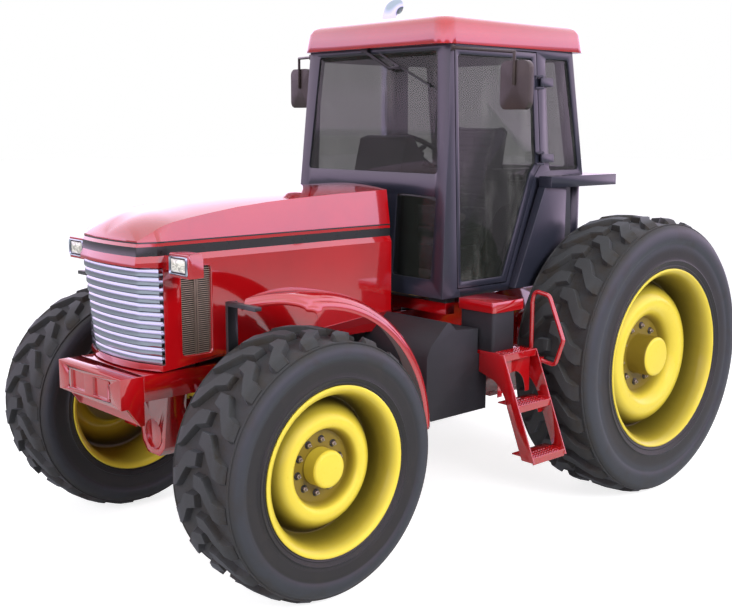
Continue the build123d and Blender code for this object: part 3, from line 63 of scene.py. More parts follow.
# %% Camera
camera_data = bpy.data.cameras.new("portrait")
camera = bpy.data.objects.new("portrait", camera_data)
bpy.context.scene.collection.objects.link(camera)
bpy.context.scene.camera = camera
SENSOR = 36.0
LENS = 52.76
camera_data.sensor_width = SENSOR
camera_data.lens = LENS
camera_data.clip_end = 200.0


def aim(camera, place, direction, roll):
    """Stands the camera at a place, looking along a direction, rolled by some degrees."""
    turn = Vector(direction).to_track_quat("-Z", "Y").to_matrix().to_4x4()
    camera.matrix_world = Matrix.Translation(place) @ turn @ Matrix.Rotation(math.radians(roll), 4, "Z")


aim(camera, (4.99861, -4.77595, 2.35789), (-0.73003, 0.66297, -0.16592), 0.154)
print("camera lens", LENS)


# %% [markdown]
# ## Shapes from whole arrays
# Most new pieces here are surfaces on a grid: rows along one parameter, columns along the other. A shape is
# kept as its points and its faces, so several can be joined, copied round a wheel or mirrored before a mesh
# is made.

# %% Grids, joins and mirrors
def grid(points, loop_rows=False, loop_columns=False):
    """A shape from an array of rows x columns x 3: each point joins the next row and the next column."""
    rows, columns = points.shape[:2]
    row = np.arange(rows if loop_rows else rows - 1)[:, None]
    column = np.arange(columns if loop_columns else columns - 1)[None, :]
    below, beside = (row + 1) % rows, (column + 1) % columns
    corners = [row * columns + column, row * columns + beside, below * columns + beside,
               below * columns + column]
    return points.reshape(-1, 3), [np.stack(corners, -1).reshape(-1, 4)]


def join(*shapes):
    """One shape holding all the points and faces of several."""
    starts = np.cumsum([0] + [len(points) for points, faces in shapes])
    return (np.concatenate([points for points, faces in shapes]),
            [group + start for (points, faces), start in zip(shapes, starts) for group in faces])


def mirror(shape):
    """The same shape on the other side of x = 0, with its faces turned round so that they still look out."""
    points, faces = shape
    return points * (-1, 1, 1), [group[:, ::-1] for group in faces]


def both(shape):
    """A shape and its mirror image together."""
    return join(shape, mirror(shape))


def copies(shape, places):
    """A shape repeated at each place, moved and not turned."""
    points, faces = shape
    places = np.asarray(places, float)
    many = (points[None] + places[:, None]).reshape(-1, 3)
    shift = (np.arange(len(places)) * len(points))[:, None, None]
    return many, [(group[None] + shift).reshape(-1, group.shape[1]) for group in faces]


def capped(points):
    """A tube's shape from rows of closed rings, with a flat face over its first and its last ring."""
    rows, columns = points.shape[:2]
    flat, faces = grid(points, loop_columns=True)
    ring = np.arange(columns)
    return flat, faces + [ring[None, ::-1], ring[None] + (rows - 1) * columns]


# %% [markdown]
# ## Round pieces, bars and plates
# Three ways of carrying a profile cover most of a tractor: round an axle, along a path, and straight through
# a plate. Rounded edges come from the Bevel modifier, which also carries the light along a pressed or cast
# edge.

# %% Profiles round an axle
def round_axle(profile, axle, segments=96, closed=False):
    """Each profile point (x, radius) goes round the x line through axle (y, z):
    y + radius cos, z + radius sin."""
    profile = np.asarray(profile, float)
    angle = np.linspace(0, 2 * np.pi, segments, endpoint=False)
    x = np.repeat(profile[:, :1], segments, 1)
    y = axle[0] + profile[:, 1:] * np.cos(angle)
    z = axle[1] + profile[:, 1:] * np.sin(angle)
    return grid(np.stack([x, y, z], -1), loop_rows=closed, loop_columns=True)


def lathe(profile, foot, direction, segments=32):
    """Profile points (distance along a line, radius) turned round that line from foot in a direction."""
    line = np.asarray(direction, float) / np.linalg.norm(direction)
    helper = np.array([0.0, 0.0, 1.0]) if abs(line[2]) < 0.9 else np.array([0.0, 1.0, 0.0])
    across = np.cross(helper, line)
    across /= np.linalg.norm(across)
    other = np.cross(line, across)
    profile = np.asarray(profile, float)
    angle = np.linspace(0, 2 * np.pi, segments, endpoint=False)
    ring = across * np.cos(angle)[:, None] + other * np.sin(angle)[:, None]
    points = np.asarray(foot, float) + profile[:, :1, None] * line + profile[:, 1:, None] * ring
    return capped(points)


# %% Bars along a path
def bar(path, radius, sides=12, up=(0.13, 0.21, 1.0)):
    """A round bar: at each path point a ring of a radius stands square to the path's direction."""
    path = np.asarray(path, float)
    along = np.gradient(path, axis=0)
    along /= np.linalg.norm(along, axis=1, keepdims=True)
    across = np.cross(np.asarray(up, float), along)
    across /= np.linalg.norm(across, axis=1, keepdims=True)
    other = np.cross(along, across)
    angle = np.linspace(0, 2 * np.pi, sides, endpoint=False)[:, None]
    ring = across[:, None] * np.cos(angle) * radius + other[:, None] * np.sin(angle) * radius
    return capped(path[:, None] + ring)


# %% Plates
def plate(outline, low, high, axis="x"):
    """A flat outline carried straight from low to high along an axis.

    The outline's two values are (y, z) for a plate along x, (x, z) along y and (x, y) along z.
    """
    outline = np.asarray(outline, float)
    place = {"x": (1, 2, 0), "y": (0, 2, 1), "z": (0, 1, 2)}[axis]
    a, b = outline[:, 0], outline[:, 1]
    turn = np.sum(a * np.roll(b, -1) - b * np.roll(a, -1))
    if (turn > 0) == (axis == "y"):
        outline = outline[::-1]
    points = np.zeros((2, len(outline), 3))
    points[:, :, place[:2]] = outline
    points[:, :, place[2]] = np.array([[low], [high]])
    return capped(points)


def box(x, y, z):
    """A block between two values on each axis."""
    return plate([(x[0], y[0]), (x[1], y[0]), (x[1], y[1]), (x[0], y[1])], *sorted(z), axis="z")


def rounded_outline(points, radius, steps=5):
    """A closed outline whose corners are rounded by a radius, or by one radius for each corner."""
    points = np.asarray(points, float)
    radius = np.broadcast_to(radius, len(points))[:, None]
    before, after = np.roll(points, 1, 0), np.roll(points, -1, 0)
    start = points + (before - points) / np.linalg.norm(before - points, axis=1, keepdims=True) * radius
    end = points + (after - points) / np.linalg.norm(after - points, axis=1, keepdims=True) * radius
    t = np.linspace(0, 1, steps)[None, :, None]
    curve = (1 - t) ** 2 * start[:, None] + 2 * t * (1 - t) * points[:, None] + t ** 2 * end[:, None]
    return curve.reshape(-1, points.shape[1])


def rectangle(width, height, centre=(0, 0)):
    """The four corners of a rectangle round a centre."""
    return [(centre[0] + i * width / 2, centre[1] + j * height / 2)
            for i, j in ((-1, -1), (1, -1), (1, 1), (-1, 1))]


print("helpers ready; a rounded plate has", len(plate(rounded_outline(rectangle(1, 1), 0.1), 0, 1)[0]),
      "points")


# %% [markdown]
# ## From a shape to an object
# An object needs its mesh, its finish and the body that it rides on. The origin stays at zero, so that a
# pattern on object coordinates keeps its size and doesn't slide when a wheel turns.

# %% Making a piece
def round_edges(thing, width, steps=2, angle=32):
    """Rounds the edges that are sharper than an angle in degrees."""
    rounding = thing.modifiers.new("rounded edges", "BEVEL")
    rounding.width, rounding.segments = width, steps
    rounding.limit_method, rounding.angle_limit = "ANGLE", math.radians(angle)
    rounding.harden_normals = True


def close_seams(thing, distance):
    """Welds points that lie closer together than a distance."""
    thing.modifiers.new("closed seams", "WELD").merge_threshold = distance


def thicken(thing, thickness, back_finish=0, even=False):
    """Gives a sheet its thickness; the back takes the finish that stands this many
    places after the front's."""
    sheet = thing.modifiers.new("sheet thickness", "SOLIDIFY")
    sheet.thickness, sheet.offset, sheet.material_offset = thickness, -1.0, back_finish
    sheet.use_even_offset = even


def make(name, shape, finish, body, stands_for=None, bevel=0.0, bevel_steps=2, crease=35):
    """Builds an object from a shape: smooth shading with sharp edges kept above an
    angle, rounded by a bevel."""
    points, faces = shape
    mesh = bpy.data.meshes.new(name)
    corners = np.concatenate([group.ravel() for group in faces]).astype(np.int32)
    sizes = np.concatenate([np.full(len(group), group.shape[1]) for group in faces])
    mesh.vertices.add(len(points))
    mesh.vertices.foreach_set("co", points.astype(np.float32).ravel())
    mesh.loops.add(len(corners))
    mesh.loops.foreach_set("vertex_index", corners)
    mesh.polygons.add(len(sizes))
    mesh.polygons.foreach_set("loop_start", (np.cumsum(sizes) - sizes).astype(np.int32))
    mesh.update(calc_edges=True)
    mesh.validate()
    mesh.shade_smooth()
    mesh.set_sharp_from_angle(angle=math.radians(crease))
    thing = bpy.data.objects.new(name, mesh)
    bpy.context.scene.collection.objects.link(thing)
    for one in finish if isinstance(finish, (list, tuple)) else [finish]:
        mesh.materials.append(one)
    if bevel:
        round_edges(thing, bevel, bevel_steps)
    if stands_for:
        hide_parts(stands_for)
    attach(thing, body)
    return thing


def paint_faces(thing, choose):
    """Gives each face a finish by number; choose gets the faces' centres and normals as arrays."""
    mesh = thing.data
    centre = np.zeros(len(mesh.polygons) * 3, np.float32)
    normal = np.zeros(len(mesh.polygons) * 3, np.float32)
    mesh.polygons.foreach_get("center", centre)
    mesh.polygons.foreach_get("normal", normal)
    index = choose(centre.reshape(-1, 3), normal.reshape(-1, 3)).astype(np.int32)
    mesh.polygons.foreach_set("material_index", index)


# %% [markdown]
# ## Writing finishes as sums
# A finish is a small network of nodes. Wrapping each socket lets the network be written as ordinary
# arithmetic: `grime * 0.4 + 0.2` adds its own Math nodes, and colours are mixed by a node that keeps them
# coloured.

# %% Wires and finishes
class Wire:
    """A value inside a finish. Arithmetic on it adds Math nodes and gives a new wire."""

    def __init__(self, finish, socket):
        self.finish, self.socket = finish, socket

    def math(self, operation, first, second=0.0):
        return self.finish.node("ShaderNodeMath", {"operation": operation}, {0: first, 1: second})

    def __add__(self, other):
        return self.math("ADD", self, other)

    __radd__ = __add__

    def __sub__(self, other):
        return self.math("SUBTRACT", self, other)

    def __rsub__(self, other):
        return self.math("SUBTRACT", other, self)

    def __mul__(self, other):
        return self.math("MULTIPLY", self, other)

    __rmul__ = __mul__

    def __pow__(self, other):
        return self.math("POWER", self, other)


class Finish:
    """A material under construction, with one method that adds any node and sets its sockets."""

    def __init__(self, name, **constants):
        self.material = bpy.data.materials.new(name)
        self.material.use_nodes = True
        self.tree = self.material.node_tree
        self.shader = self.tree.nodes["Principled BSDF"]
        self.set(**constants)
        self.place = self.node("ShaderNodeTexCoord", {}, {}, "Object")

    def node(self, kind, settings, sockets, out=0):
        """A node of a type: its settings first (a ramp's stops among them), then values
        or wires for its sockets."""
        made = self.tree.nodes.new(kind)
        for name, value in settings.items():
            if name == "stops":
                ramp = made.color_ramp
                while len(ramp.elements) < len(value):
                    ramp.elements.new(0.5)
                for element, (position, colour) in zip(ramp.elements, value):
                    element.position, element.color = position, (*colour, 1.0)
            else:
                setattr(made, name, value)
        for key, value in sockets.items():
            self.feed(made.inputs[key], value)
        return Wire(self, made.outputs[out])

    def feed(self, socket, value):
        """Links a wire to a socket, or sets the socket's own value; a colour gets its alpha of 1."""
        if isinstance(value, Wire):
            self.tree.links.new(value.socket, socket)
        elif socket.type == "RGBA" and len(value) == 3:
            socket.default_value = (*value, 1.0)
        else:
            socket.default_value = value

    def set(self, **sockets):
        """Sets or links the shader's sockets; base_color stands for Base Color, and so on."""
        names = {"ior": "IOR", "coat_ior": "Coat IOR"}
        for name, value in sockets.items():
            self.feed(self.shader.inputs[names.get(name, name.replace("_", " ").title())], value)

    def mix(self, share, first, second):
        """A colour between two: the first where share is 0, the second where it is 1."""
        return self.node("ShaderNodeMix", {"data_type": "RGBA"}, {0: share, 6: first, 7: second}, 2)

    def tint(self, colour, amount):
        """A colour made brighter or darker by an amount that may vary."""
        return self.node("ShaderNodeVectorMath", {"operation": "SCALE"}, {0: colour, "Scale": amount})

    def math_of(self, operation, value):
        """A Math node with one input, such as ABSOLUTE or SINE."""
        return self.node("ShaderNodeMath", {"operation": operation}, {0: value})

    def noise(self, scale, detail=3.0, rough=0.5, place=None, warp=0.0):
        """Cloudy noise from 0 to 1 whose features are about 1 / scale metres across."""
        sockets = {"Vector": place or self.place, "Scale": scale, "Detail": detail, "Roughness": rough,
                   "Distortion": warp}
        return self.node("ShaderNodeTexNoise", {}, sockets, "Fac")

    def rise(self, value, low, high):
        """0 below low, 1 above high and a smooth rise between them."""
        return self.node("ShaderNodeMapRange", {"interpolation_type": "SMOOTHSTEP"},
                         {"Value": value, "From Min": low, "From Max": high})

    def stretched(self, amounts):
        """The place with each axis scaled, so that a pattern is drawn out along an axis."""
        return self.node("ShaderNodeMapping", {}, {"Vector": self.place, "Scale": amounts})

    def along(self, axis):
        """The place's value on one axis: X, Y or Z."""
        return self.node("ShaderNodeSeparateXYZ", {}, {"Vector": self.place}, axis)

    def from_axle(self, axle):
        """The distance from the x line through an axle (y, z)."""
        flat = self.node("ShaderNodeVectorMath", {"operation": "MULTIPLY_ADD"},
                         {0: self.place, 1: (0.0, 1.0, 1.0), 2: (0.0, -axle[0], -axle[1])})
        return self.node("ShaderNodeVectorMath", {"operation": "LENGTH"}, {0: flat}, "Value")

    def bump(self, height, depth, strength=1.0):
        """Makes the light follow a height of 0 to 1 that is this many metres deep."""
        normal = self.node("ShaderNodeBump", {}, {"Height": height, "Distance": depth, "Strength": strength})
        self.set(normal=normal)


# %% [markdown]
# ## Enamel
# The red panels and the golden wheels are sprayed and stoved enamel: clean colour under a clear skin, which
# is weaker and duller on the wheels. The red's skin is made to mirror more strongly than real lacquer does,
# so that the hood, roof and fenders pick up the pale sky where they are seen at a shallow angle. Dust gathers
# low down, fine scratches dull the red, and its colour drifts.

# %% Enamel
def enamel(name, colour, deep, dust=(0.16, 0.12, 0.09), gloss=0.10, dust_high=1.1, dusty=0.35):
    """A sprayed finish: colour drifting towards a deeper one, dust below a height,
    faint orange peel and scuffs."""
    paint = Finish(name, ior=1.28, coat_weight=1.0, coat_roughness=0.05, coat_ior=1.95)
    drift = paint.rise(paint.noise(2.3, 4.0, 0.6), 0.35, 0.7)
    speckle = paint.noise(38.0, 5.0, 0.65)
    low = 1 - paint.rise(paint.along("Z"), 0.25, dust_high)
    grime = paint.rise(paint.noise(9.0, 6.0, 0.7, warp=0.6) * 0.75 + speckle * 0.25, 0.42, 0.72) * low * dusty
    body = paint.mix(drift * 0.55, colour, deep)
    paint.set(base_color=paint.mix(grime, body, dust))
    scuffs = paint.noise(140.0, 2.0, 0.5, place=paint.stretched((1.0, 0.18, 1.0)))
    paint.set(roughness=grime * 0.5 + paint.rise(scuffs, 0.55, 0.8) * 0.10 + gloss)
    paint.set(coat_weight=1 - grime * 0.8)
    paint.bump(paint.noise(55.0, 2.0), 0.00035, 0.25)
    return paint.material


RED = (0.42, 0.0032, 0.0060)
red_enamel = enamel("red enamel", RED, (0.31, 0.0022, 0.0042))
# painted shade: a darker, duller and dustier copy of the red for the backs of the hood and fender sheets
red_painted_shade = enamel("red enamel out of the light", (0.20, 0.002, 0.004), (0.13, 0.001, 0.003), gloss=0.35,
                   dusty=0.5)


def wheel_gold(name, axle, plate, groove, reach):
    """Golden enamel of a wheel, with painted shade by the distance from the axle (y, z): dark wholly
    at the groove's radius and less and less over a reach on both sides of it, and evenly over the recessed hub
    plate."""
    paint = Finish(name, ior=1.30, coat_weight=0.55, coat_roughness=0.12, coat_ior=1.38)
    radius = paint.from_axle(axle)
    cloud = paint.noise(6.0, 5.0, 0.65, warp=0.5)
    away = paint.math_of("ABSOLUTE", radius - groove)
    # painted shade: the gold turns nearly black at the groove's radius and lightens over the reach on both sides
    groove_shade = (1 - paint.rise(away + cloud * 0.008, 0.004, reach)) ** 0.8
    # painted shade over the recessed hub plate, from about half its radius out to its edge
    inner = (paint.rise(radius, 0.52 * plate, 0.53 * plate)
             * (1 - paint.rise(radius, plate * 0.99, plate * 1.14)))
    clean = paint.mix(cloud * 0.5, (0.84, 0.67, 0.070), (0.76, 0.56, 0.045))
    plate_shaded = paint.mix(inner * 0.86, clean, (0.105, 0.062, 0.009))
    paint.set(base_color=paint.mix(groove_shade * 0.97, plate_shaded, (0.016, 0.009, 0.0022)))
    paint.set(roughness=groove_shade * 0.35 + inner * 0.25 + paint.noise(60.0, 4.0) * 0.10 + 0.24)
    paint.bump(paint.noise(50.0, 3.0), 0.00035, 0.25)
    return paint.material


print("enamels", red_enamel.name, red_painted_shade.name)


# %% [markdown]
# ## Dark finishes
# The cab is satin blue-black steel, the tanks and cowls are moulded plastic with a fine grain, and the mat is
# a speckled carpet. Each black is a little different, which is what keeps them readable side by side.

# %% Cab steel, mouldings and black gloss
def satin_steel(name, colour, edge, gloss=0.32):
    """Satin paint over steel: a colour with soft clouding, and paler rubbed patches."""
    paint = Finish(name, ior=1.45, coat_weight=0.35, coat_roughness=0.18)
    cloud = paint.noise(3.1, 5.0, 0.6)
    rubbed = paint.rise(paint.noise(17.0, 7.0, 0.72, warp=0.8), 0.60, 0.78)
    paint.set(base_color=paint.mix(rubbed * 0.45, paint.tint(colour, cloud * 0.5 + 0.75), edge))
    paint.set(roughness=paint.noise(45.0, 4.0) * 0.16 + gloss - 0.08)
    paint.bump(paint.noise(240.0, 3.0), 0.0002, 0.25)
    return paint.material


def moulded(name, colour, pale, gloss=0.42, grain=520.0, depth=0.0004):
    """Moulded plastic: a pebbled grain of small cells and a bloom of paler, drier patches."""
    plastic = Finish(name, ior=1.46)
    cells = plastic.node("ShaderNodeTexVoronoi", {"feature": "DISTANCE_TO_EDGE"},
                         {"Vector": plastic.place, "Scale": grain}, "Distance")
    bloom = plastic.rise(plastic.noise(5.0, 6.0, 0.65), 0.45, 0.75)
    plastic.set(base_color=plastic.mix(bloom * 0.6, colour, pale))
    plastic.set(roughness=bloom * 0.14 + plastic.noise(60.0, 3.0) * 0.08 + gloss)
    plastic.bump(plastic.rise(cells, 0.0, 0.25), depth, 0.35)
    return plastic.material


cab_black = satin_steel("satin blue-black steel", (0.020, 0.0215, 0.034), (0.045, 0.048, 0.062))
band_black = satin_steel("black gloss band", (0.012, 0.0125, 0.013), (0.022, 0.022, 0.024), gloss=0.3)
strut_black = satin_steel("black steel", (0.010, 0.0105, 0.012), (0.03, 0.03, 0.032), gloss=0.4)
moulded_black = moulded("grained black moulding", (0.012, 0.012, 0.014), (0.028, 0.028, 0.032))
tank_plastic = moulded("moulded tank plastic", (0.013, 0.0135, 0.016), (0.026, 0.027, 0.031), gloss=0.5,
                       grain=300.0)
shell_brown = moulded("dark brown moulding", (0.030, 0.022, 0.019), (0.055, 0.042, 0.036), gloss=0.3)

# %% Carpet and leather
def cloth(name, dark, light, thread=900.0, speckle=260.0, depth=0.0012):
    """Pile: two colours flecked together, and a deep soft bump of fine fibres."""
    felt = Finish(name, roughness=0.95, sheen_weight=0.25, sheen_roughness=0.5)
    fleck = felt.rise(felt.noise(speckle, 3.0, 0.7), 0.52, 0.62)
    worn = felt.noise(4.0, 4.0)
    felt.set(base_color=felt.mix(fleck * (worn * 0.6 + 0.5), dark, light))
    felt.bump(felt.noise(thread, 2.0, 0.6), depth, 0.6)
    return felt.material


def leather(name, colour, worn, gloss=0.38):
    """Leather: cells of creased grain at two sizes, and smoother, paler patches where it is sat on."""
    hide = Finish(name, ior=1.45, sheen_weight=0.08)
    pebbles = hide.node("ShaderNodeTexVoronoi", {"feature": "DISTANCE_TO_EDGE"},
                        {"Vector": hide.place, "Scale": 330.0}, "Distance")
    creases = hide.noise(46.0, 6.0, 0.7, warp=1.2)
    rub = hide.rise(hide.noise(7.0, 4.0), 0.45, 0.7)
    hide.set(base_color=hide.mix(rub * 0.7, hide.tint(colour, creases * 0.5 + 0.75), worn))
    hide.set(roughness=creases * 0.2 + gloss - 0.1 * rub)
    hide.bump(hide.rise(pebbles, 0.0, 0.3) * 0.6 + creases * 0.4, 0.0011, 0.5)
    return hide.material


mat_carpet = cloth("speckled floor mat", (0.012, 0.012, 0.013), (0.10, 0.10, 0.105))
seat_leather = leather("dark seat leather", (0.020, 0.021, 0.027), (0.040, 0.042, 0.050))
seat_piping = leather("grey-beige seat sides", (0.20, 0.185, 0.165), (0.27, 0.25, 0.22))

# %% [markdown]
# ## Metals, glass and lamps
# Chrome mirrors its surroundings and shows only faint hairlines. Machined steel has turning marks. The cab's
# glass is grey-green with faint streaks of dust. A pane is drawn as a film that lets about half of the view
# through, which stays cheap to render behind a second pane.

# %% Metals
def bright_metal(name, colour, gloss, hairline=(1.0, 1.0, 12.0), marks=0.10, tarnish=(0.2, 0.2, 0.22)):
    """Polished or machined metal: hairlines drawn out along one axis, and thin tarnish in patches."""
    metal = Finish(name, metallic=1.0)
    lines = metal.noise(90.0, 3.0, 0.6, place=metal.stretched(hairline))
    film = metal.rise(metal.noise(11.0, 5.0, 0.7), 0.52, 0.8)
    metal.set(base_color=metal.mix(film * 0.35, colour, tarnish))
    metal.set(roughness=lines * marks + film * 0.12 + gloss)
    metal.bump(lines, 0.0002, 0.12)
    return metal.material


def cast_metal(name, colour, oily):
    """Painted casting: pitted skin, oily stains and dust, all fairly dull."""
    iron = Finish(name, ior=1.45)
    stain = iron.rise(iron.noise(6.0, 7.0, 0.7, warp=0.8), 0.48, 0.72)
    iron.set(base_color=iron.mix(stain * 0.7, colour, oily))
    iron.set(roughness=0.62 - stain * 0.25)
    iron.bump(iron.noise(120.0, 4.0, 0.6), 0.0008, 0.5)
    return iron.material


chrome = bright_metal("chrome", (0.40, 0.46, 0.53), 0.07, marks=0.05)
louvre_chrome = bright_metal("louvre chrome", (0.36, 0.41, 0.47), 0.16, marks=0.06, tarnish=(0.35, 0.4, 0.46))
machined_steel = bright_metal("machined steel", (0.52, 0.52, 0.53), 0.26, hairline=(6.0, 1.0, 6.0))
engine_iron = cast_metal("grey engine iron", (0.085, 0.09, 0.10), (0.03, 0.027, 0.023))
screen_wire = bright_metal("olive screen wire", (0.30, 0.26, 0.19), 0.42, marks=0.2,
                           tarnish=(0.12, 0.11, 0.08))
bolt_steel = bright_metal("zinc bolt steel", (0.40, 0.36, 0.30), 0.35, marks=0.15, tarnish=(0.10, 0.07, 0.05))

# %% Glass
def pane_glass(name, film):
    """A thin tinted pane: a transparent film of a colour, a clear gloss over it, and
    faint streaks of dust."""
    pane = Finish(name, base_color=(0.02, 0.022, 0.02), ior=1.45)
    streak = pane.rise(pane.noise(5.0, 6.0, 0.7, place=pane.stretched((1.0, 1.0, 0.25))), 0.5, 0.8)
    pane.set(base_color=pane.mix(streak, film, (0.16, 0.16, 0.15)), roughness=streak * 0.12 + 0.03)
    pane.set(alpha=streak * 0.02 + 0.46)
    pane.material.surface_render_method = "BLENDED"
    return pane.material


cab_glass = pane_glass("grey-green cab glass", (0.022, 0.025, 0.021))
print("metals and glass", chrome.name, cab_glass.name)


# %% Lamps
def lens(name, colour, glow, lines, depth=0.0015):
    """A moulded lens: small squares pressed into it, glossy outside and lit a little from inside."""
    clear = Finish(name, roughness=0.06, ior=1.5, coat_weight=0.5)
    ribs = clear.node("ShaderNodeTexChecker", {}, {"Vector": clear.place, "Scale": lines}, "Fac")
    cloud = clear.noise(26.0, 3.0, 0.6, warp=1.5)
    clear.set(base_color=clear.mix(clear.rise(cloud, 0.4, 0.62), colour, tuple(0.45 * c for c in colour)))
    clear.set(emission_color=clear.mix(cloud, glow, tuple(0.4 * c for c in glow)), emission_strength=0.12)
    clear.bump(ribs * 0.5 + cloud * 0.5, depth, 0.6)
    return clear.material


lamp_lens = lens("headlamp lens", (0.85, 0.82, 0.74), (1.0, 0.95, 0.85), 85.0)
tail_lens = lens("red lamp lens", (0.45, 0.008, 0.010), (0.6, 0.02, 0.02), 120.0)


# %% [markdown]
# ## Tyre rubber
# The lugs' faces wear matt and pale, with brown patches between them and on their flanks, while the sidewall
# stays darker and a little polished, with fine rings left by the mould; its upper part, from the bulge to the
# shoulder, carries a painted blue-grey highlight. Where each of these shows depends on the distance from the
# axle, which the finish works out from the place on the wheel.

# %% Tyre rubber
def tyre_rubber(name, axle, shoulder, lug_top, bead):
    """Rubber round an axle (y, z): rings by radius on the sidewall, a painted highlight on its upper part,
    brown patches between the lugs, wear on their faces."""
    rubber = Finish(name, ior=1.42, sheen_weight=0.12, sheen_roughness=0.4, sheen_tint=(0.55, 0.62, 0.75))
    radius = rubber.from_axle(axle)
    cloud = rubber.noise(7.0, 6.0, 0.7, warp=0.5)
    fine = rubber.noise(85.0, 5.0, 0.7)
    tread = rubber.rise(radius, shoulder - 0.035, shoulder + 0.01)
    crown = rubber.rise(radius, lug_top - 0.016, lug_top - 0.004)
    # brown patches in the tread zone, between the lugs and on their flanks, below the paler lug tops
    brown_patches = rubber.rise(cloud * 0.7 + fine * 0.3, 0.42, 0.62) * tread
    # painted highlight: the upper sidewall, from the bulge to the shoulder, turns a pale blue-grey
    band = rubber.rise(radius, bead + 0.105, bead + 0.15) * (1 - tread)
    wall = rubber.mix(band * 0.8, (0.0150, 0.0145, 0.0145), (0.036, 0.040, 0.050))
    wall = rubber.mix(rubber.rise(cloud, 0.45, 0.7) * 0.5, wall, (0.026, 0.022, 0.019))
    face = rubber.mix(tread, wall, (0.032, 0.033, 0.034))
    brown_patched = rubber.mix(brown_patches * 0.85, face, (0.027, 0.022, 0.016))
    rubber.set(base_color=rubber.mix(crown * 0.75, brown_patched, (0.043, 0.045, 0.047)))
    rubber.set(roughness=tread * 0.30 + fine * 0.14 + 0.36)
    rings = rubber.math_of("SINE", radius * 1150.0)
    ringed = (rubber.rise(radius, bead + 0.012, bead + 0.02)
              * (1 - rubber.rise(radius, bead + 0.06, bead + 0.07)))
    rubber.bump(rings * 0.5 * ringed + fine * 0.35 + cloud * 0.2, 0.0018, 0.5)
    return rubber.material


# %% [markdown]
# ## Studio
# Four soft sheets of light stand round the tractor: a strong one on its left side, others ahead of it,
# overhead and behind its right shoulder. The surroundings glow evenly for matt surfaces. Polished ones mirror
# a lavender sky that is brightest low over the horizon and dimmer overhead, which is what turns the tops of
# the hood and fenders pale.

# %% Lights
def light_sheet(name, place, target, size, power):
    """A square area lamp at a place, facing a target, left out of reflections so that
    no panel shows its outline."""
    data = bpy.data.lights.new(name, "AREA")
    data.size, data.energy = size, power
    lamp = bpy.data.objects.new(name, data)
    bpy.context.scene.collection.objects.link(lamp)
    lamp.location = place
    lamp.rotation_euler = (Vector(target) - Vector(place)).to_track_quat("-Z", "Y").to_euler()
    lamp.visible_glossy = False


light_sheet("side sheet", (8.6, -0.6, 5.0), (0.6, 0.0, 1.2), 3.5, 720.0)
light_sheet("front sheet", (1.2, -9.0, 4.2), (0.0, -0.2, 1.2), 4.0, 400.0)
light_sheet("top sheet", (-0.5, 0.5, 8.5), (0.0, 0.0, 1.0), 6.0, 260.0)
light_sheet("back sheet", (-5.5, 6.5, 5.0), (0.0, 0.0, 1.2), 4.0, 260.0)

# %% Sky
world = bpy.data.worlds.new("studio sky")
bpy.context.scene.world = world
world.use_nodes = True
sky = world.node_tree
sky_glow = sky.nodes["Background"]
sky_glow.inputs["Strength"].default_value = 1.0


def sky_feed(socket, value):
    """Links an output to a socket of the sky, or sets the socket's own value."""
    if hasattr(value, "is_output"):
        sky.links.new(value, socket)
    else:
        socket.default_value = value


def sky_mix(share, low, high):
    """A colour between two: the first where share is 0, the second where it is 1."""
    made = sky.nodes.new("ShaderNodeMix")
    made.data_type = "RGBA"
    for number, value in ((0, share), (6, low), (7, high)):
        sky_feed(made.inputs[number], value)
    return made.outputs[2]


rays = sky.nodes.new("ShaderNodeLightPath").outputs
way = sky.nodes.new("ShaderNodeTexCoord").outputs["Generated"]
split = sky.nodes.new("ShaderNodeSeparateXYZ")
sky_feed(split.inputs[0], way)
ramp = sky.nodes.new("ShaderNodeValToRGB")
sky_feed(ramp.inputs[0], split.outputs["Z"])
SKY_STOPS = ((0.0, (0.80, 0.66, 0.95)), (0.03, (2.3, 1.75, 2.5)), (0.30, (2.5, 2.0, 2.6)),
             (0.75, (1.3, 1.3, 1.4)))
while len(ramp.color_ramp.elements) < len(SKY_STOPS):
    ramp.color_ramp.elements.new(0.5)
for element, (position, colour) in zip(ramp.color_ramp.elements, SKY_STOPS):
    element.position, element.color = position, (*colour, 1.0)
MATT_LIGHT, WHITE = (0.27, 0.28, 0.30, 1.0), (1.0, 1.0, 1.0, 1.0)
seen_straight = sky.nodes.new("ShaderNodeMath")
seen_straight.operation = "MAXIMUM"
sky_feed(seen_straight.inputs[0], rays["Is Camera Ray"])
sky_feed(seen_straight.inputs[1], rays["Is Transmission Ray"])
lit = sky_mix(rays["Is Glossy Ray"], MATT_LIGHT, ramp.outputs["Color"])
sky_feed(sky_glow.inputs["Color"], sky_mix(seen_straight.outputs[0], lit, WHITE))
bpy.context.scene.view_settings.view_transform = "Standard"

# %% Floor
floor_mesh = bpy.data.meshes.new("pale floor")
floor_mesh.from_pydata([(-60, -60, 0), (60, -60, 0), (60, 60, 0), (-60, 60, 0)], [], [(0, 1, 2, 3)])
floor = bpy.data.objects.new("pale floor", floor_mesh)
bpy.context.scene.collection.objects.link(floor)
pale = Finish("pale floor", base_color=(0.55, 0.55, 0.56), roughness=0.9)
path = pale.tree.nodes.new("ShaderNodeLightPath")
camera_ray, glass_ray = (Wire(pale, path.outputs["Is Camera Ray"]),
                         Wire(pale, path.outputs["Is Transmission Ray"]))
glossy_ray = Wire(pale, path.outputs["Is Glossy Ray"])
direct = pale.node("ShaderNodeMath", {"operation": "MAXIMUM"}, {0: camera_ray, 1: glass_ray})
glow = pale.node("ShaderNodeEmission", {},
                 {"Color": (1.0, 1.0, 1.0), "Strength": direct * 0.80 + glossy_ray * 0.12})
sum_up = pale.node("ShaderNodeAddShader", {}, {0: Wire(pale, pale.shader.outputs[0]), 1: glow})
pale.tree.links.new(sum_up.socket, pale.tree.nodes["Material Output"].inputs["Surface"])
floor_mesh.materials.append(pale.material)
print("studio ready")


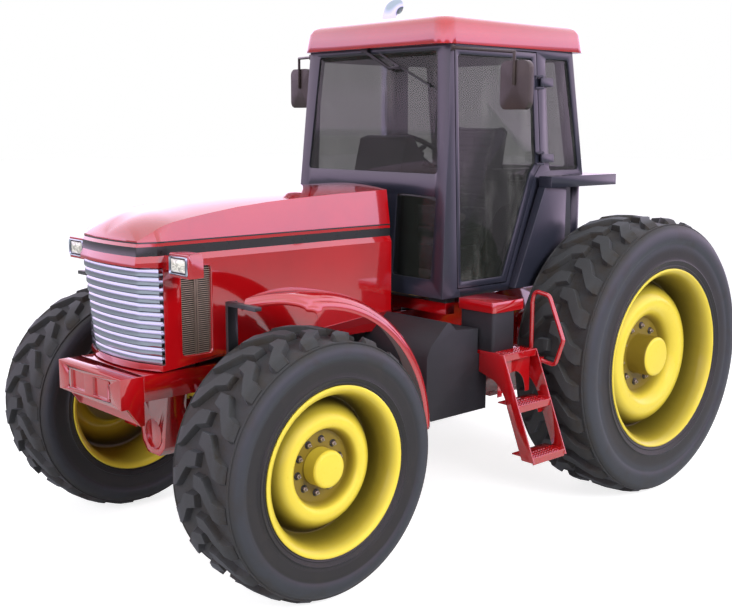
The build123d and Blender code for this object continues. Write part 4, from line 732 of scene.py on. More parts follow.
# %% [markdown]
# ## Wheels: the tyre's body
# A farm tyre is a squarish ring: an almost flat crown, a round shoulder with a thin moulded line, a wall that
# bulges and a few ridges where the wall meets the rim. One profile turned round the axle gives all of it, so
# the work goes into the profile. A smooth curve through a few measured points keeps it from looking like
# stacked cones.

# %% Smooth curves and the wheels' sizes
def smooth(points, steps=5):
    """A curve through every point (Catmull-Rom): each span blends its neighbours with cubic weights."""
    points = np.asarray(points, float)
    ends = np.concatenate([2 * points[:1] - points[1:2], points, 2 * points[-1:] - points[-2:-1]])
    a, b, c, d = ends[:-3, None], ends[1:-2, None], ends[2:-1, None], ends[3:, None]
    t = (np.arange(steps) / steps)[None, :, None]
    curve = 0.5 * (2 * b + (c - a) * t + (2 * a - 5 * b + 4 * c - d) * t ** 2
                   + (3 * b - a - 3 * c + d) * t ** 3)
    return np.concatenate([curve.reshape(-1, points.shape[1]), points[-1:]])


FRONT_TYRE = dict(axle=(AXLE_FRONT_Y, 0.680), radius=0.680, middle=0.940, half=0.217, bulge=0.253, bead=0.430,
                  lugs=21, lug_width=0.034, pitch=(0.0, 0.012, 0.036, 0.112, 0.128, 0.132))
REAR_TYRE = dict(axle=(AXLE_REAR_Y, 0.892), radius=0.892, middle=1.062, half=0.241, bulge=0.284, bead=0.572,
                 lugs=25, lug_width=0.038, pitch=(0.0, 0.014, 0.042, 0.130, 0.150, 0.155))
LUG_TALL = 0.038
front_rubber = tyre_rubber("front tyre rubber", FRONT_TYRE["axle"], 0.640, 0.680, FRONT_TYRE["bead"])
rear_rubber = tyre_rubber("rear tyre rubber", REAR_TYRE["axle"], 0.850, 0.892, REAR_TYRE["bead"])


def tyre_wall(tyre):
    """One side of the tyre's outline as (x, radius), from the bead over ridges, wall
    and shoulder to the crown."""
    bead, bulge, half = tyre["bead"], tyre["bulge"], tyre["half"]
    edge = tyre["radius"] - LUG_TALL - 0.002
    wall = edge - bead
    shape = [(-0.070, -0.10), (-0.026, -0.03), (-0.018, 0.03), (-0.013, 0.07), (-0.016, 0.09), (-0.012, 0.12),
             (-0.006, 0.17), (-0.004, 0.19), (-0.009, 0.21), (-0.011, 0.25), (-0.010, 0.36), (-0.008, 0.50),
             (-0.008, 0.57), (-0.003, 0.63), (0.0, 0.71), (-0.0025, 0.82), (-0.010, 0.91), (-0.021, 0.965),
             (-0.029, 0.985)]
    side = np.array([(bulge + out, bead + wall * up) for out, up in shape])
    line = [(half + 0.010, edge - 0.004), (half + 0.011, edge + 0.003), (half + 0.006, edge + 0.006),
            (half + 0.001, edge + 0.001)]
    crown = [(half - 0.02, edge + 0.001), (half * 0.5, edge + 0.002), (0.0, edge + 0.0025)]
    return np.concatenate([smooth(side, 3), line, crown])


# %% [markdown]
# ## Wheels: the lugs
# Drive tyres pull with broad rubber bars that start at the middle of the tread, bend and run out towards the
# shoulder, alternating from side to side. Each bar is a short strip with a flat top and sloping flanks. All
# bars of a tyre are worked out together: station by station along the bar, and turned to their places round
# the axle.

# %% Lugs
def lug_ring(tyre, side):
    """Bars on one side of the tread. Along a bar x grows and the angle follows the sweep; across it the
    profile goes foot, top, top, foot. A point is at (x, radius cos angle, radius sin angle) from the axle."""
    half, radius = tyre["half"], tyre["radius"]
    across = np.array([-0.05, 0.30, 0.40, 0.66, 0.84, 0.96]) * half
    sweep = np.array(tyre["pitch"]) / radius
    top = radius - np.array([0.004, 0.0, 0.0, 0.003, 0.011, 0.035])
    foot = radius - LUG_TALL - np.array([0.004, 0.004, 0.004, 0.005, 0.006, 0.010])
    wide = tyre["lug_width"] * np.array([0.85, 1.10, 1.30, 1.20, 1.25, 1.15]) / radius
    offset = np.array([-1.36, -1.02, 1.02, 1.36])
    level = np.array([0.0, 1.0, 1.0, 0.0])
    angle = sweep[:, None] + wide[:, None] * offset
    reach = foot[:, None] + (top - foot)[:, None] * level
    lead = np.array([0.0, 0.010, 0.010, 0.0]) * np.array([1, 0, 0, 0, 0, 0])[:, None]
    x = across[:, None] + lead
    turn = (np.arange(tyre["lugs"]) + (0.5 if side < 0 else 0.0)) * 2 * np.pi / tyre["lugs"]
    angles = turn[:, None, None] + angle + np.pi / 2
    points = np.stack([np.broadcast_to(x, angles.shape), reach * np.cos(angles), reach * np.sin(angles)], -1)
    one, faces = capped(points[0])
    shift = np.arange(len(points))[:, None, None] * len(one)
    shape = points.reshape(-1, 3), [(group[None] + shift).reshape(-1, group.shape[1]) for group in faces]
    shape = shape if side > 0 else mirror(shape)
    centre = (0.0, tyre["axle"][0], tyre["axle"][1])
    return shape[0] + centre, shape[1]


def tyre_shape(tyre):
    """Body and lugs of the left tyre: the wall's outline, then the same mirrored, as one closed ring."""
    wall = tyre_wall(tyre)
    outline = np.concatenate([wall, wall[-2::-1] * (-1, 1)])
    liner = np.array([(-tyre["bulge"] + 0.09, tyre["bead"] + 0.03),
                      (tyre["bulge"] - 0.09, tyre["bead"] + 0.03)])
    body = round_axle(np.concatenate([outline, liner]), tyre["axle"], 120, closed=True)
    body = body[0], [group[:, ::-1] for group in body[1]]
    points, faces = join(body, lug_ring(tyre, 1), lug_ring(tyre, -1))
    return points + (tyre["middle"], 0, 0), faces


for end, tyre, rubber in (("front", FRONT_TYRE, front_rubber), ("rear", REAR_TYRE, rear_rubber)):
    shape = tyre_shape(tyre)
    for side, turned in (("left", shape), ("right", mirror(shape))):
        made = make(f"{end}_tyre_{side}_lugged", turned, rubber, f"{end}_wheel_{side}", f"{end}_tyre_{side}",
                    bevel=0.0035, bevel_steps=2, crease=40)
        print(made.name, len(made.data.polygons), "faces")


# %% [markdown]
# ## Wheels: the golden discs
# The pressed disc rolls in from the rim to a deep groove, swells into a round ring and drops to a flat plate
# with the wheel nuts and the hub's cap. The outline goes round the whole section, face and back, so that the
# wheel is solid from inside the machine too.

# %% Discs, hub plates and caps
FRONT_DISC = dict(
    middle=0.940, body="front_wheel", axle=FRONT_TYRE["axle"], plate_r=0.185, plate_x=0.092,
    cap_r=0.097, cap_x=0.186, nut_circle=0.136, nuts=10, nut=0.0135,
    face=[(0.092, 0.183), (0.100, 0.188), (0.128, 0.194), (0.152, 0.205), (0.163, 0.220), (0.1665, 0.238),
          (0.161, 0.262), (0.144, 0.288), (0.115, 0.312), (0.084, 0.330), (0.064, 0.344), (0.066, 0.354),
          (0.096, 0.360), (0.140, 0.366), (0.184, 0.375), (0.216, 0.389), (0.235, 0.407), (0.2425, 0.423),
          (0.240, 0.4325)],
    back=[(0.232, 0.434), (0.222, 0.428), (0.216, 0.408), (-0.214, 0.405), (-0.222, 0.428), (-0.234, 0.4335),
          (-0.242, 0.428), (-0.236, 0.414), (-0.208, 0.393), (0.02, 0.386), (0.050, 0.366), (0.050, 0.342),
          (0.070, 0.322), (0.102, 0.300), (0.130, 0.280), (0.148, 0.256), (0.152, 0.238), (0.146, 0.224),
          (0.120, 0.206), (0.084, 0.196), (0.078, 0.180), (0.078, 0.106), (-0.076, 0.104), (-0.076, 0.052)])
REAR_DISC = dict(
    middle=1.062, body="rear_wheel", axle=REAR_TYRE["axle"], plate_r=0.238, plate_x=0.060,
    cap_r=0.128, cap_x=0.205, nut_circle=0.185, nuts=10, nut=0.016,
    face=[(0.060, 0.238), (0.072, 0.244), (0.108, 0.256), (0.140, 0.276), (0.160, 0.304), (0.168, 0.336),
          (0.162, 0.378), (0.140, 0.418), (0.104, 0.446), (0.064, 0.466), (0.040, 0.480), (0.044, 0.492),
          (0.090, 0.500), (0.150, 0.508), (0.206, 0.520), (0.244, 0.537), (0.264, 0.555), (0.2715, 0.567),
          (0.268, 0.5745)],
    back=[(0.260, 0.576), (0.248, 0.569), (0.241, 0.550), (-0.239, 0.547), (-0.248, 0.569), (-0.262, 0.5755),
          (-0.271, 0.568), (-0.264, 0.552), (-0.232, 0.533), (-0.02, 0.524), (0.026, 0.504), (0.026, 0.478),
          (0.050, 0.456), (0.090, 0.434), (0.126, 0.410), (0.148, 0.374), (0.154, 0.336), (0.146, 0.310),
          (0.128, 0.286), (0.098, 0.268), (0.062, 0.252), (0.046, 0.234), (0.046, 0.142), (-0.148, 0.140),
          (-0.148, 0.066)])
# each golden enamel carries painted shade in its disc's groove and on its hub plate
front_gold = wheel_gold("golden enamel, front wheels", FRONT_DISC["axle"], 0.185, 0.338, 0.088)
rear_gold = wheel_gold("golden enamel, rear wheels", REAR_DISC["axle"], 0.238, 0.474, 0.110)


def disc_shape(disc):
    """The closed outline of face and back round the axle, with a smooth face."""
    middle, foot = disc["middle"], disc["plate_x"]
    cap, reach = disc["cap_r"], disc["cap_x"]
    edge, root = 0.012, (0.006, 0.004)
    cap_line = [(reach, 0.0005), (reach, cap - 2.2 * edge), (reach - 0.15 * edge, cap - edge),
                (reach - 0.6 * edge, cap - 0.3 * edge), (reach - 1.5 * edge, cap), (foot + root[0], cap),
                (foot, cap + root[1])]
    outline = np.concatenate([cap_line, smooth(disc["face"], 4), disc["back"]])
    closing = [(disc["back"][-1][0], 0.0005)]
    points, faces = round_axle(np.concatenate([outline, closing]), disc["axle"], 128)
    return points + (middle, 0, 0), faces


def nut_ring(disc):
    """Hexagon nuts on round washers, spaced evenly on a circle on the hub plate."""
    y, z = disc["axle"]
    size, foot = disc["nut"], disc["middle"] + disc["plate_x"]
    angle = (np.arange(disc["nuts"]) + 0.3) * 2 * np.pi / disc["nuts"]
    places = np.stack([0 * angle, np.cos(angle), np.sin(angle)], -1) * disc["nut_circle"]
    nut = lathe([(0.0035, size), (0.014, size), (0.017, size * 0.82), (0.018, size * 0.5)], (foot, y, z),
                (1, 0, 0), 6)
    stud = lathe([(0.015, size * 0.45), (0.025, size * 0.45), (0.027, size * 0.36)], (foot, y, z),
                 (1, 0, 0), 10)
    washer = lathe([(-0.002, size * 1.45), (0.003, size * 1.45), (0.004, size * 1.35)], (foot, y, z),
                   (1, 0, 0), 16)
    return copies(join(nut, stud), places), copies(washer, places)


for end, disc, gold in (("front", FRONT_DISC, front_gold), ("rear", REAR_DISC, rear_gold)):
    shape = disc_shape(disc)
    nuts, washers = nut_ring(disc)
    for side, flip in (("left", lambda s: s), ("right", mirror)):
        body = f"{disc['body']}_{side}"
        rim = make(f"{end}_disc_{side}", flip(shape), gold, body, f"{end}_rim_{side}", crease=50)
        make(f"{end}_nuts_{side}", flip(nuts), bolt_steel, body, crease=30)
        make(f"{end}_washers_{side}", flip(washers), strut_black, body)
    print(end, "disc", len(rim.data.polygons), "faces,", disc["nuts"], "nuts")


# %% [markdown]
# ## The hood
# The hood is one long pressing: tall sides with a ledge, a black band with a thin line above it, a shoulder
# that leans in to a crease and a crowned top that rolls down over the nose. It is drawn as a grid whose
# columns run round the plan, from one rear corner round the nose to the other, and whose rows climb from the
# lower edge to the middle of the crown. Rows then carry the colours, so the band stays crisp at any distance.

# %% Hood: sizes along its length
def line_through(points):
    """A function that reads a value between given (place, value) pairs, in rising
    order, on straight lines."""
    places, values = np.asarray(points, float).T
    return lambda place: np.interp(place, places, values)


hood_half = line_through([(1.53, 0.396), (1.80, 0.386), (1.90, 0.383), (2.20, 0.379), (2.61, 0.376),
                          (3.12, 0.372)])
hood_low = line_through([(1.53, 1.263), (2.30, 1.190), (3.06, 1.118), (3.30, 1.102)])
hood_crease = line_through([*smooth([(1.53, 1.978), (2.00, 1.964), (2.41, 1.943), (2.66, 1.920),
                                     (2.80, 1.901), (2.93, 1.882), (3.03, 1.862), (3.09, 1.836),
                                     (3.13, 1.810), (3.166, 1.780)], 6), (3.21, 1.778)])
hood_crest = line_through([*smooth([(1.53, 2.003), (1.90, 2.000), (2.20, 1.991), (2.50, 1.974), (2.75, 1.949),
                                    (2.92, 1.922), (3.04, 1.890), (3.12, 1.854), (3.17, 1.818),
                                    (3.20, 1.782)], 6)])
crease_in = line_through([(1.53, 0.031), (2.60, 0.026), (2.93, 0.018), (3.05, 0.022), (3.10, 0.034),
                          (3.166, 0.003)])
SIDE_STATIONS = np.array([1.53, 1.62, 1.75, 1.90, 2.05, 2.20, 2.40, 2.60, 2.792, 2.90, 2.99, 3.05, 3.085])
NOSE_HALF, NOSE_TOP = 0.372, 1.646
PANEL_SHEET = 0.004


def nose_plan(inset, below=0.0, forward=0.0):
    """Half the plan as (x, ahead): along the side, over the chamfer to the fold, and round the bowed front.

    The front bows as a parabola. An inset draws everything in; the nose narrows and leans back with the drop
    below the lip, by 0.107 and 0.054 of it.
    """
    fold, reach = 0.285 - 0.107 * below - 0.7 * inset, 3.181 - 0.054 * below + forward - inset
    corner = (NOSE_HALF - inset, 3.112 - 0.018 * below - 0.4 * inset)
    share = np.array([0.35, 0.7, 0.93])
    chamfer = np.stack([corner[0] + (fold - corner[0]) * share, corner[1] + (reach - corner[1]) * share], -1)
    across = np.array([1.0, 0.93, 0.7, 0.4, 0.0])
    front = np.stack([fold * across, reach + 0.026 * (1 - across ** 2)], -1)
    sides = np.stack([hood_half(SIDE_STATIONS) - inset, SIDE_STATIONS], -1)
    return np.concatenate([sides, [corner], chamfer, front])


# %% Hood: rows of the grid
LIP, BAND_LOW, BAND_HIGH, LINE_LOW, LINE_HIGH = 1.669, 1.700, 1.748, 1.764, 1.772


def hood_rows():
    """The rows of the left half, bottom to crown; the crown is
    z = crease + (crest - crease)(1 - (1 - v)^2)."""
    rows = []

    def row(plan, height):
        rows.append(np.stack([plan[:, 0], ahead(plan[:, 1]), height + 0 * plan[:, 0]], -1))

    low = nose_plan(0.0, NOSE_TOP - 1.105)
    row(low, hood_low(low[:, 1]))
    row(nose_plan(0.0, NOSE_TOP - 1.147), 1.147)
    row(nose_plan(0.0, NOSE_TOP - 1.170), 1.170)
    row(nose_plan(0.0), NOSE_TOP)
    lip, band, line = (nose_plan(0.0, forward=0.012), nose_plan(0.014, forward=0.014),
                       nose_plan(0.014, forward=0.014))
    climb = 0.006 * np.clip((3.181 - lip[:, 1]) / 0.06, 0, 1)
    row(lip, NOSE_TOP + 0.002)
    row(lip, LIP + climb)
    row(band, BAND_LOW + climb)
    row(band, BAND_HIGH + climb)
    line[:, 1] -= 0.010 * np.clip((line[:, 1] - 3.12) / 0.05, 0, 1)
    row(line, LINE_LOW + climb)
    row(line, LINE_HIGH + climb)
    crease = line.copy()
    crease[:, 0] -= crease_in(line[:, 1])
    crease_z = np.maximum(hood_crease(line[:, 1]), LINE_HIGH + climb + 0.003)
    row(crease, crease_z)
    spine = line[:, 1].copy()
    nose = spine >= 2.9
    spine[nose] = np.linspace(2.9, line[-1, 1], nose.sum() + 1)[1:]
    spine_z = np.maximum(hood_crest(spine), crease_z)
    for v in (0.10, 0.24, 0.42, 0.62, 0.82, 1.0):
        plan = np.stack([crease[:, 0] * (1 - v), crease[:, 1] + (spine - crease[:, 1]) * v], -1)
        row(plan, crease_z + (spine_z - crease_z) * (1 - (1 - v) ** 2))
    return np.stack(rows)


left_half = hood_rows()
hood_grid = np.concatenate([left_half * (-1, 1, 1), left_half[:, -2::-1]], axis=1)
hood_points, (hood_faces,) = grid(hood_grid)
row_number = np.arange(len(hood_faces)) // (hood_grid.shape[1] - 1)
centres = hood_points[hood_faces].mean(1)
is_grille = (centres[:, 1] < ahead(3.085)) & (centres[:, 2] > 1.147) & (centres[:, 2] < NOSE_TOP)
is_screen = ((centres[:, 1] < ahead(2.792)) & (centres[:, 1] > ahead(2.990))
             & (centres[:, 2] > 1.170) & (centres[:, 2] < NOSE_TOP) & (np.abs(centres[:, 0]) > 0.36))
keep = ~(is_grille | is_screen)
hood = make("hood_pressing", (hood_points, [hood_faces[keep]]), [red_enamel, band_black, red_painted_shade],
            "hood", "hood", crease=24)
hood.data.polygons.foreach_set("material_index", np.isin(row_number[keep], (6, 8)).astype(np.int32))
close_seams(hood, 0.0004)
# the back of the hood sheet takes the red with painted shade
thicken(hood, PANEL_SHEET, back_finish=2, even=True)
round_edges(hood, 0.0045, angle=26)
print("hood grid", hood_grid.shape[:2], "faces", int(keep.sum()))


# %% [markdown]
# ## The grille
# Eleven bright louvres fill the nose, each a strip of polished sheet that swells in its lower half and turns
# in at both edges, folded where the nose's corners are. They narrow towards the chin. A black panel stands
# behind them, so the slits between them read as shadow.

# %% Grille
def nose_strip(inset, heights, swell):
    """A strip round the nose: columns follow the plan from side to side, rows climb;
    swell moves each row out."""
    rows = []
    for height, out in zip(heights, swell):
        plan = nose_plan(inset - out, NOSE_TOP - height)
        plan = plan[plan[:, 1] > 3.08]
        plan[0, 1] = 3.0855
        plan = np.stack([plan[:, 0], ahead(plan[:, 1]), np.full(len(plan), height)], -1)
        rows.append(np.concatenate([plan * (-1, 1, 1), plan[-2::-1]]))
    return np.stack(rows)


GRILLE_LOW, GRILLE_HIGH, LOUVRES = 1.1475, 1.6455, 11
pitch = (GRILLE_HIGH - GRILLE_LOW) / LOUVRES
share = np.array([0.0, 0.0, 0.08, 0.25, 0.45, 0.65, 0.82, 0.93, 0.965, 0.965])
swell = np.array([-0.020, -0.001, 0.0022, 0.0034, 0.0030, 0.0018, -0.0006, -0.0036, -0.0065, -0.020])
louvres = [grid(nose_strip(0.006, GRILLE_LOW + 0.001 + (number + share) * pitch, swell))
           for number in range(LOUVRES)]
make("grille_louvres", join(*louvres), louvre_chrome, "hood", "grille", crease=28)
panel = nose_strip(0.026, (GRILLE_LOW - 0.01, GRILLE_HIGH + 0.01), (0.0, 0.0))
back_panel = make("grille_back_panel", grid(panel), strut_black, "hood")
thicken(back_panel, 0.003)
print("louvres", LOUVRES, "pitch", round(pitch, 4))

# %% [markdown]
# ## Side screens
# Two tall screens let air into the engine bay. Each sits in a pressed opening with round corners: a lip round
# the edge, two narrow uprights side by side, and close horizontal wires over a black sheet of painted shade.

# %% Side screens
SCREEN = dict(front=2.990, rear=2.792, low=1.170, high=NOSE_TOP, face=0.3735)
middle_y, middle_z = ahead((SCREEN["front"] + SCREEN["rear"]) / 2), (SCREEN["low"] + SCREEN["high"]) / 2
width, height = SCREEN["front"] - SCREEN["rear"], SCREEN["high"] - SCREEN["low"]


def frame_round(outer, inner, levels):
    """A flat frame between two outlines of equal length, carried through (x, share)
    levels from outer to inner."""
    outer, inner = np.asarray(outer), np.asarray(inner)
    rows = [np.column_stack([np.full(len(outer), x), outer + (inner - outer) * share]) for x, share in levels]
    return grid(np.stack(rows), loop_columns=True)


opening = rounded_outline(rectangle(width + 0.004, height + 0.004, (middle_y, middle_z)), 0.0005, 6)
mouth = rounded_outline(rectangle(width - 0.010, height - 0.010, (middle_y, middle_z)), 0.026, 6)
well = rounded_outline(rectangle(width - 0.022, height - 0.022, (middle_y, middle_z)), 0.022, 6)
lip = frame_round(opening, mouth, [(SCREEN["face"] + 0.0006, 0.0), (SCREEN["face"] + 0.0012, 1.0)])
throat = frame_round(mouth, well, [(SCREEN["face"] + 0.0012, 0.0), (SCREEN["face"] - 0.004, 0.7),
                                   (SCREEN["face"] - 0.014, 1.0), (SCREEN["face"] - 0.03, 1.0)])
make("screen_lips", both(join(lip, throat)), red_enamel, "hood", crease=50)
wire_z = np.arange(SCREEN["low"] + 0.012, SCREEN["high"] - 0.006, 0.0108)
inside = SCREEN["face"] - 0.010
wire = bar([(inside, middle_y - width / 2 + 0.008, 0), (inside, middle_y + width / 2 - 0.008, 0)], 0.0030, 6)
wires = copies(wire, np.stack([0 * wire_z, 0 * wire_z, wire_z], -1))
uprights = join(*[box((inside - 0.003, inside + 0.006), (middle_y + a, middle_y + b),
                      (SCREEN["low"], SCREEN["high"]))
                  for a, b in ((-0.011, -0.002), (0.002, 0.011))])
# painted shade: a black sheet just behind the wires stands for the dark engine bay
shade_backing = box((inside - 0.020, inside - 0.016), (middle_y - width / 2, middle_y + width / 2),
              (SCREEN["low"], SCREEN["high"]))
make("screen_wires", both(wires), screen_wire, "hood", "side_screens")
make("screen_dividers", both(uprights), screen_wire, "hood", bevel=0.001)
make("screen_backs", both(shade_backing), strut_black, "hood")
print("wires a side", len(wire_z))

# %% [markdown]
# ## Headlamps
# A lamp stands out on each side of the nose in a red pod, held by an arm from the hood. In its face sit a
# bright frame, a black ring of painted shade in the gap, and a bulging lens that is about twice as wide as it is
# tall.

# %% Headlamps
LAMP_X, LAMP_Z, LAMP_Y = 0.524, 1.672, ahead(3.088)


def stacked(outlines, levels):
    """Closed outlines of (x, z), one behind another at the y values given, closed at both ends."""
    rows = np.stack([np.column_stack([np.asarray(o)[:, 0], np.full(len(o), y), np.asarray(o)[:, 1]])
                     for o, y in zip(outlines, levels)])
    return capped(rows[:, ::-1] if levels[1] > levels[0] else rows)


def lamp_face(width, height, radius, shift=0.0, drop=0.0):
    """A rounded rectangle (x, z) round the lamp's centre."""
    return rounded_outline(rectangle(width, height, (LAMP_X + shift, LAMP_Z + drop)), radius, 5)


def pod_ring(half, top, bottom, cut):
    """The pod's outline (x, z): a block whose upper outer corner is cut off by a sloping facet."""
    return [(LAMP_X - half, bottom), (LAMP_X + half, bottom), (LAMP_X + half, top - cut),
            (LAMP_X + half - 0.35 * cut, top), (LAMP_X - half, top)]


pod = stacked([pod_ring(0.083, 1.729, 1.614, 0.008), pod_ring(0.086, 1.731, 1.612, 0.010),
               pod_ring(0.084, 1.732, 1.611, 0.040), pod_ring(0.080, 1.732, 1.612, 0.034)],
              [LAMP_Y - 0.002, LAMP_Y + 0.003, LAMP_Y + 0.020, LAMP_Y + 0.092])
arm = stacked([rounded_outline(rectangle(0.12, 0.076, (0.415, LAMP_Z)), 0.012, 5),
               rounded_outline(rectangle(0.12, 0.070, (0.405, LAMP_Z - 0.004)), 0.012, 5)],
              [LAMP_Y + 0.022, LAMP_Y + 0.088])
make("lamp_pods", both(join(pod, arm)), red_enamel, "hood", bevel=0.003)
frame_rows = [lamp_face(0.159, 0.095, 0.009), lamp_face(0.158, 0.094, 0.009), lamp_face(0.150, 0.086, 0.010),
              lamp_face(0.140, 0.076, 0.010), lamp_face(0.136, 0.072, 0.009)]
bezel = stacked(frame_rows, [LAMP_Y + 0.002, LAMP_Y - 0.007, LAMP_Y - 0.011, LAMP_Y - 0.005, LAMP_Y + 0.001])
make("lamp_frames", both(bezel), chrome, "hood", crease=60)
# painted shade: a black ring between frame and lens stands for the shadow in the gap
gap_shade_ring = stacked([lamp_face(0.137, 0.073, 0.009)] * 2, [LAMP_Y, LAMP_Y - 0.0045])
make("lamp_gaps", both(gap_shade_ring), strut_black, "hood")
across = np.linspace(-1, 1, 17)
bulge = 0.009 * (1 - across[:, None] ** 4) * (1 - across[None, :] ** 4)
lens_grid = np.stack([LAMP_X - 0.002 + 0.062 * across[None, :] + 0 * bulge, LAMP_Y - 0.0046 - bulge,
                      LAMP_Z + 0.001 + 0.032 * across[:, None] + 0 * bulge], -1)
make("lamp_lenses", both(grid(lens_grid)), lamp_lens, "hood", "headlights")
print("lamps at", LAMP_X, round(float(LAMP_Y), 3), LAMP_Z)


# %% [markdown]
# ## Front fenders and the ladder
# A front fender is one deep-drawn sheet that follows the tyre. Its front and outer edges are stepped down and
# turned over, which stiffens the thin sheet, and its front edge runs back from the inner corner to the outer
# one. On the ladder, each tread is punched with rows of teeth for grip, and the side plates are tied by
# arched panels.

# %% Front fenders
FENDER_RADIUS, FENDER_BEHIND = 0.866, 88
FENDER_INNER, FENDER_OUTER = 0.762, 1.0125
FENDER_ACROSS = smooth([(0.0, FENDER_RADIUS), (0.20, 0.8675), (0.46, 0.867), (0.66, 0.863), (0.80, 0.852),
                        (0.875, 0.838), (0.90, 0.826), (0.915, 0.8215), (0.955, 0.819), (0.985, 0.812),
                        (1.0, 0.798), (1.0, 0.781)], 34)


def fender_sheet(rows=52):
    """Points at an angle round the wheel: y = axle - r sin, z = axle + r cos, with r and x from the cross
    section.

    The front rows step down by 20 mm and turn over by another 22 mm; the inner edge moves outwards behind the
    wheel, so that the sheet passes the hood at full lock.
    """
    share, radius = FENDER_ACROSS[:, 0], FENDER_ACROSS[:, 1]
    edge = np.array([0.0, 0.0, 0.003, 0.010, 0.026, 0.030, 0.035, 0.042, 0.050])
    drop = np.array([0.046, 0.030, 0.024, 0.0215, 0.0205, 0.018, 0.006, 0.001, 0.0])
    lead = 0.272 - 0.235 * share - 0.055 * np.clip((share - 0.72) / 0.28, 0, 1) ** 2
    front = np.arcsin(lead / FENDER_RADIUS)[None] - (edge / FENDER_RADIUS)[:, None]
    t = np.linspace(0, 1, rows)[1:, None]
    angle = np.concatenate([front, front[-1:] * (1 - t) - math.radians(FENDER_BEHIND) * t])
    fall = np.concatenate([drop, np.zeros(rows - 1)])[:, None]
    behind = np.clip((-np.degrees(angle) - 22) / 38, 0, 1)
    inner = FENDER_INNER + 0.062 * behind ** 2 * (3 - 2 * behind)
    x = inner + (FENDER_OUTER - inner) * share[None]
    reach = radius[None] - fall
    wheel_y, wheel_z = FRONT_TYRE["axle"]
    return grid(np.stack([x, wheel_y - reach * np.sin(angle), wheel_z + reach * np.cos(angle)], -1))


left_fender = fender_sheet()
for side, shape in (("left", left_fender), ("right", mirror(left_fender))):
    fender = make(f"fender_pressing_{side}", shape, [red_enamel, red_painted_shade], f"knuckle_{side}",
                  f"front_fender_{side}", crease=40)
    # the back of the fender sheet takes the red with painted shade
    thicken(fender, PANEL_SHEET, back_finish=1)
print("fender sheet", len(left_fender[0]), "points")

# %% Ladder teeth and arched panels
STEP_FRONT, STEP_REAR = ahead(1.292), ahead(1.008)
TREAD_HEIGHTS = (1.060, 0.780, 0.500)


def ladder_edge(height):
    """x of the ladder's outer edge at a height."""
    return 1.090 + (1.060 - height) * (1.332 - 1.090) / (1.060 - 0.470)


def teeth(height):
    """Four rows of short raised teeth on a tread; every second row is shifted by half the spacing."""
    tooth = box((-0.0018, 0.0018), (-0.0075, 0.0075), (0.0, 0.0035))
    y = np.arange(STEP_FRONT + 0.016, STEP_REAR - 0.012, 0.024)
    rows = [[(ladder_edge(height) - back, place + shift, height) for place in y[:-1]]
            for back, shift in ((0.010, 0.0), (0.034, 0.012), (0.058, 0.0), (0.082, 0.012))]
    return copies(tooth, np.concatenate(rows))


def arched_panel(x, top, foot, opening):
    """A panel between the side plates with a half-oval opening: width from the side
    walls, height as given."""
    angle = np.linspace(0, np.pi, 19)
    middle, half = (STEP_FRONT + STEP_REAR) / 2, (STEP_REAR - STEP_FRONT) / 2
    arch = np.column_stack([middle + np.cos(angle) * (half - 0.038), foot + np.sin(angle) * opening])
    return plate(np.concatenate([[(STEP_REAR, foot), (STEP_REAR, top), (STEP_FRONT, top), (STEP_FRONT, foot)],
                                 arch[::-1]]), x, x + 0.005)


make("ladder_teeth", join(*[teeth(height) for height in TREAD_HEIGHTS]), red_enamel, "chassis")
panels = join(arched_panel(ladder_edge(TREAD_HEIGHTS[0]) - 0.050, 1.052, 0.800, 0.135),
              arched_panel(ladder_edge(TREAD_HEIGHTS[1]) - 0.060, 0.772, 0.690, 0.050))
make("ladder_panels", panels, red_enamel, "chassis", bevel=0.0012, bevel_steps=1)
front_noses = [box((ladder_edge(h) - 0.006, ladder_edge(h)), (STEP_FRONT, STEP_REAR), (h - 0.042, h - 0.004))
               for h in TREAD_HEIGHTS]
make("ladder_tread_noses", join(*front_noses), red_enamel, "chassis", bevel=0.002)
print("ladder teeth and panels made")


# %% [markdown]
# ## The driver's seat
# A seat cushion is foam pulled tight under leather. Each pad starts as a slightly small block, is remeshed
# into even cells and blown up by the cloth solver. The solver alone would blow it up far too much, so each
# point keeps the solver's direction and moves only as far as a cap. The sewn channels and side seams are
# pressed in afterwards, because the remesh would wipe them out.

# %% Seat: inflating a pad
PAD_CELL, CLOTH_FRAMES = 0.0075, 20
RIB_PITCH, RIB_DEPTH, RIB_WIDTH = 0.052, 0.011, 0.0075
SEAM_DEPTH, SEAM_WIDTH = 0.010, 0.007


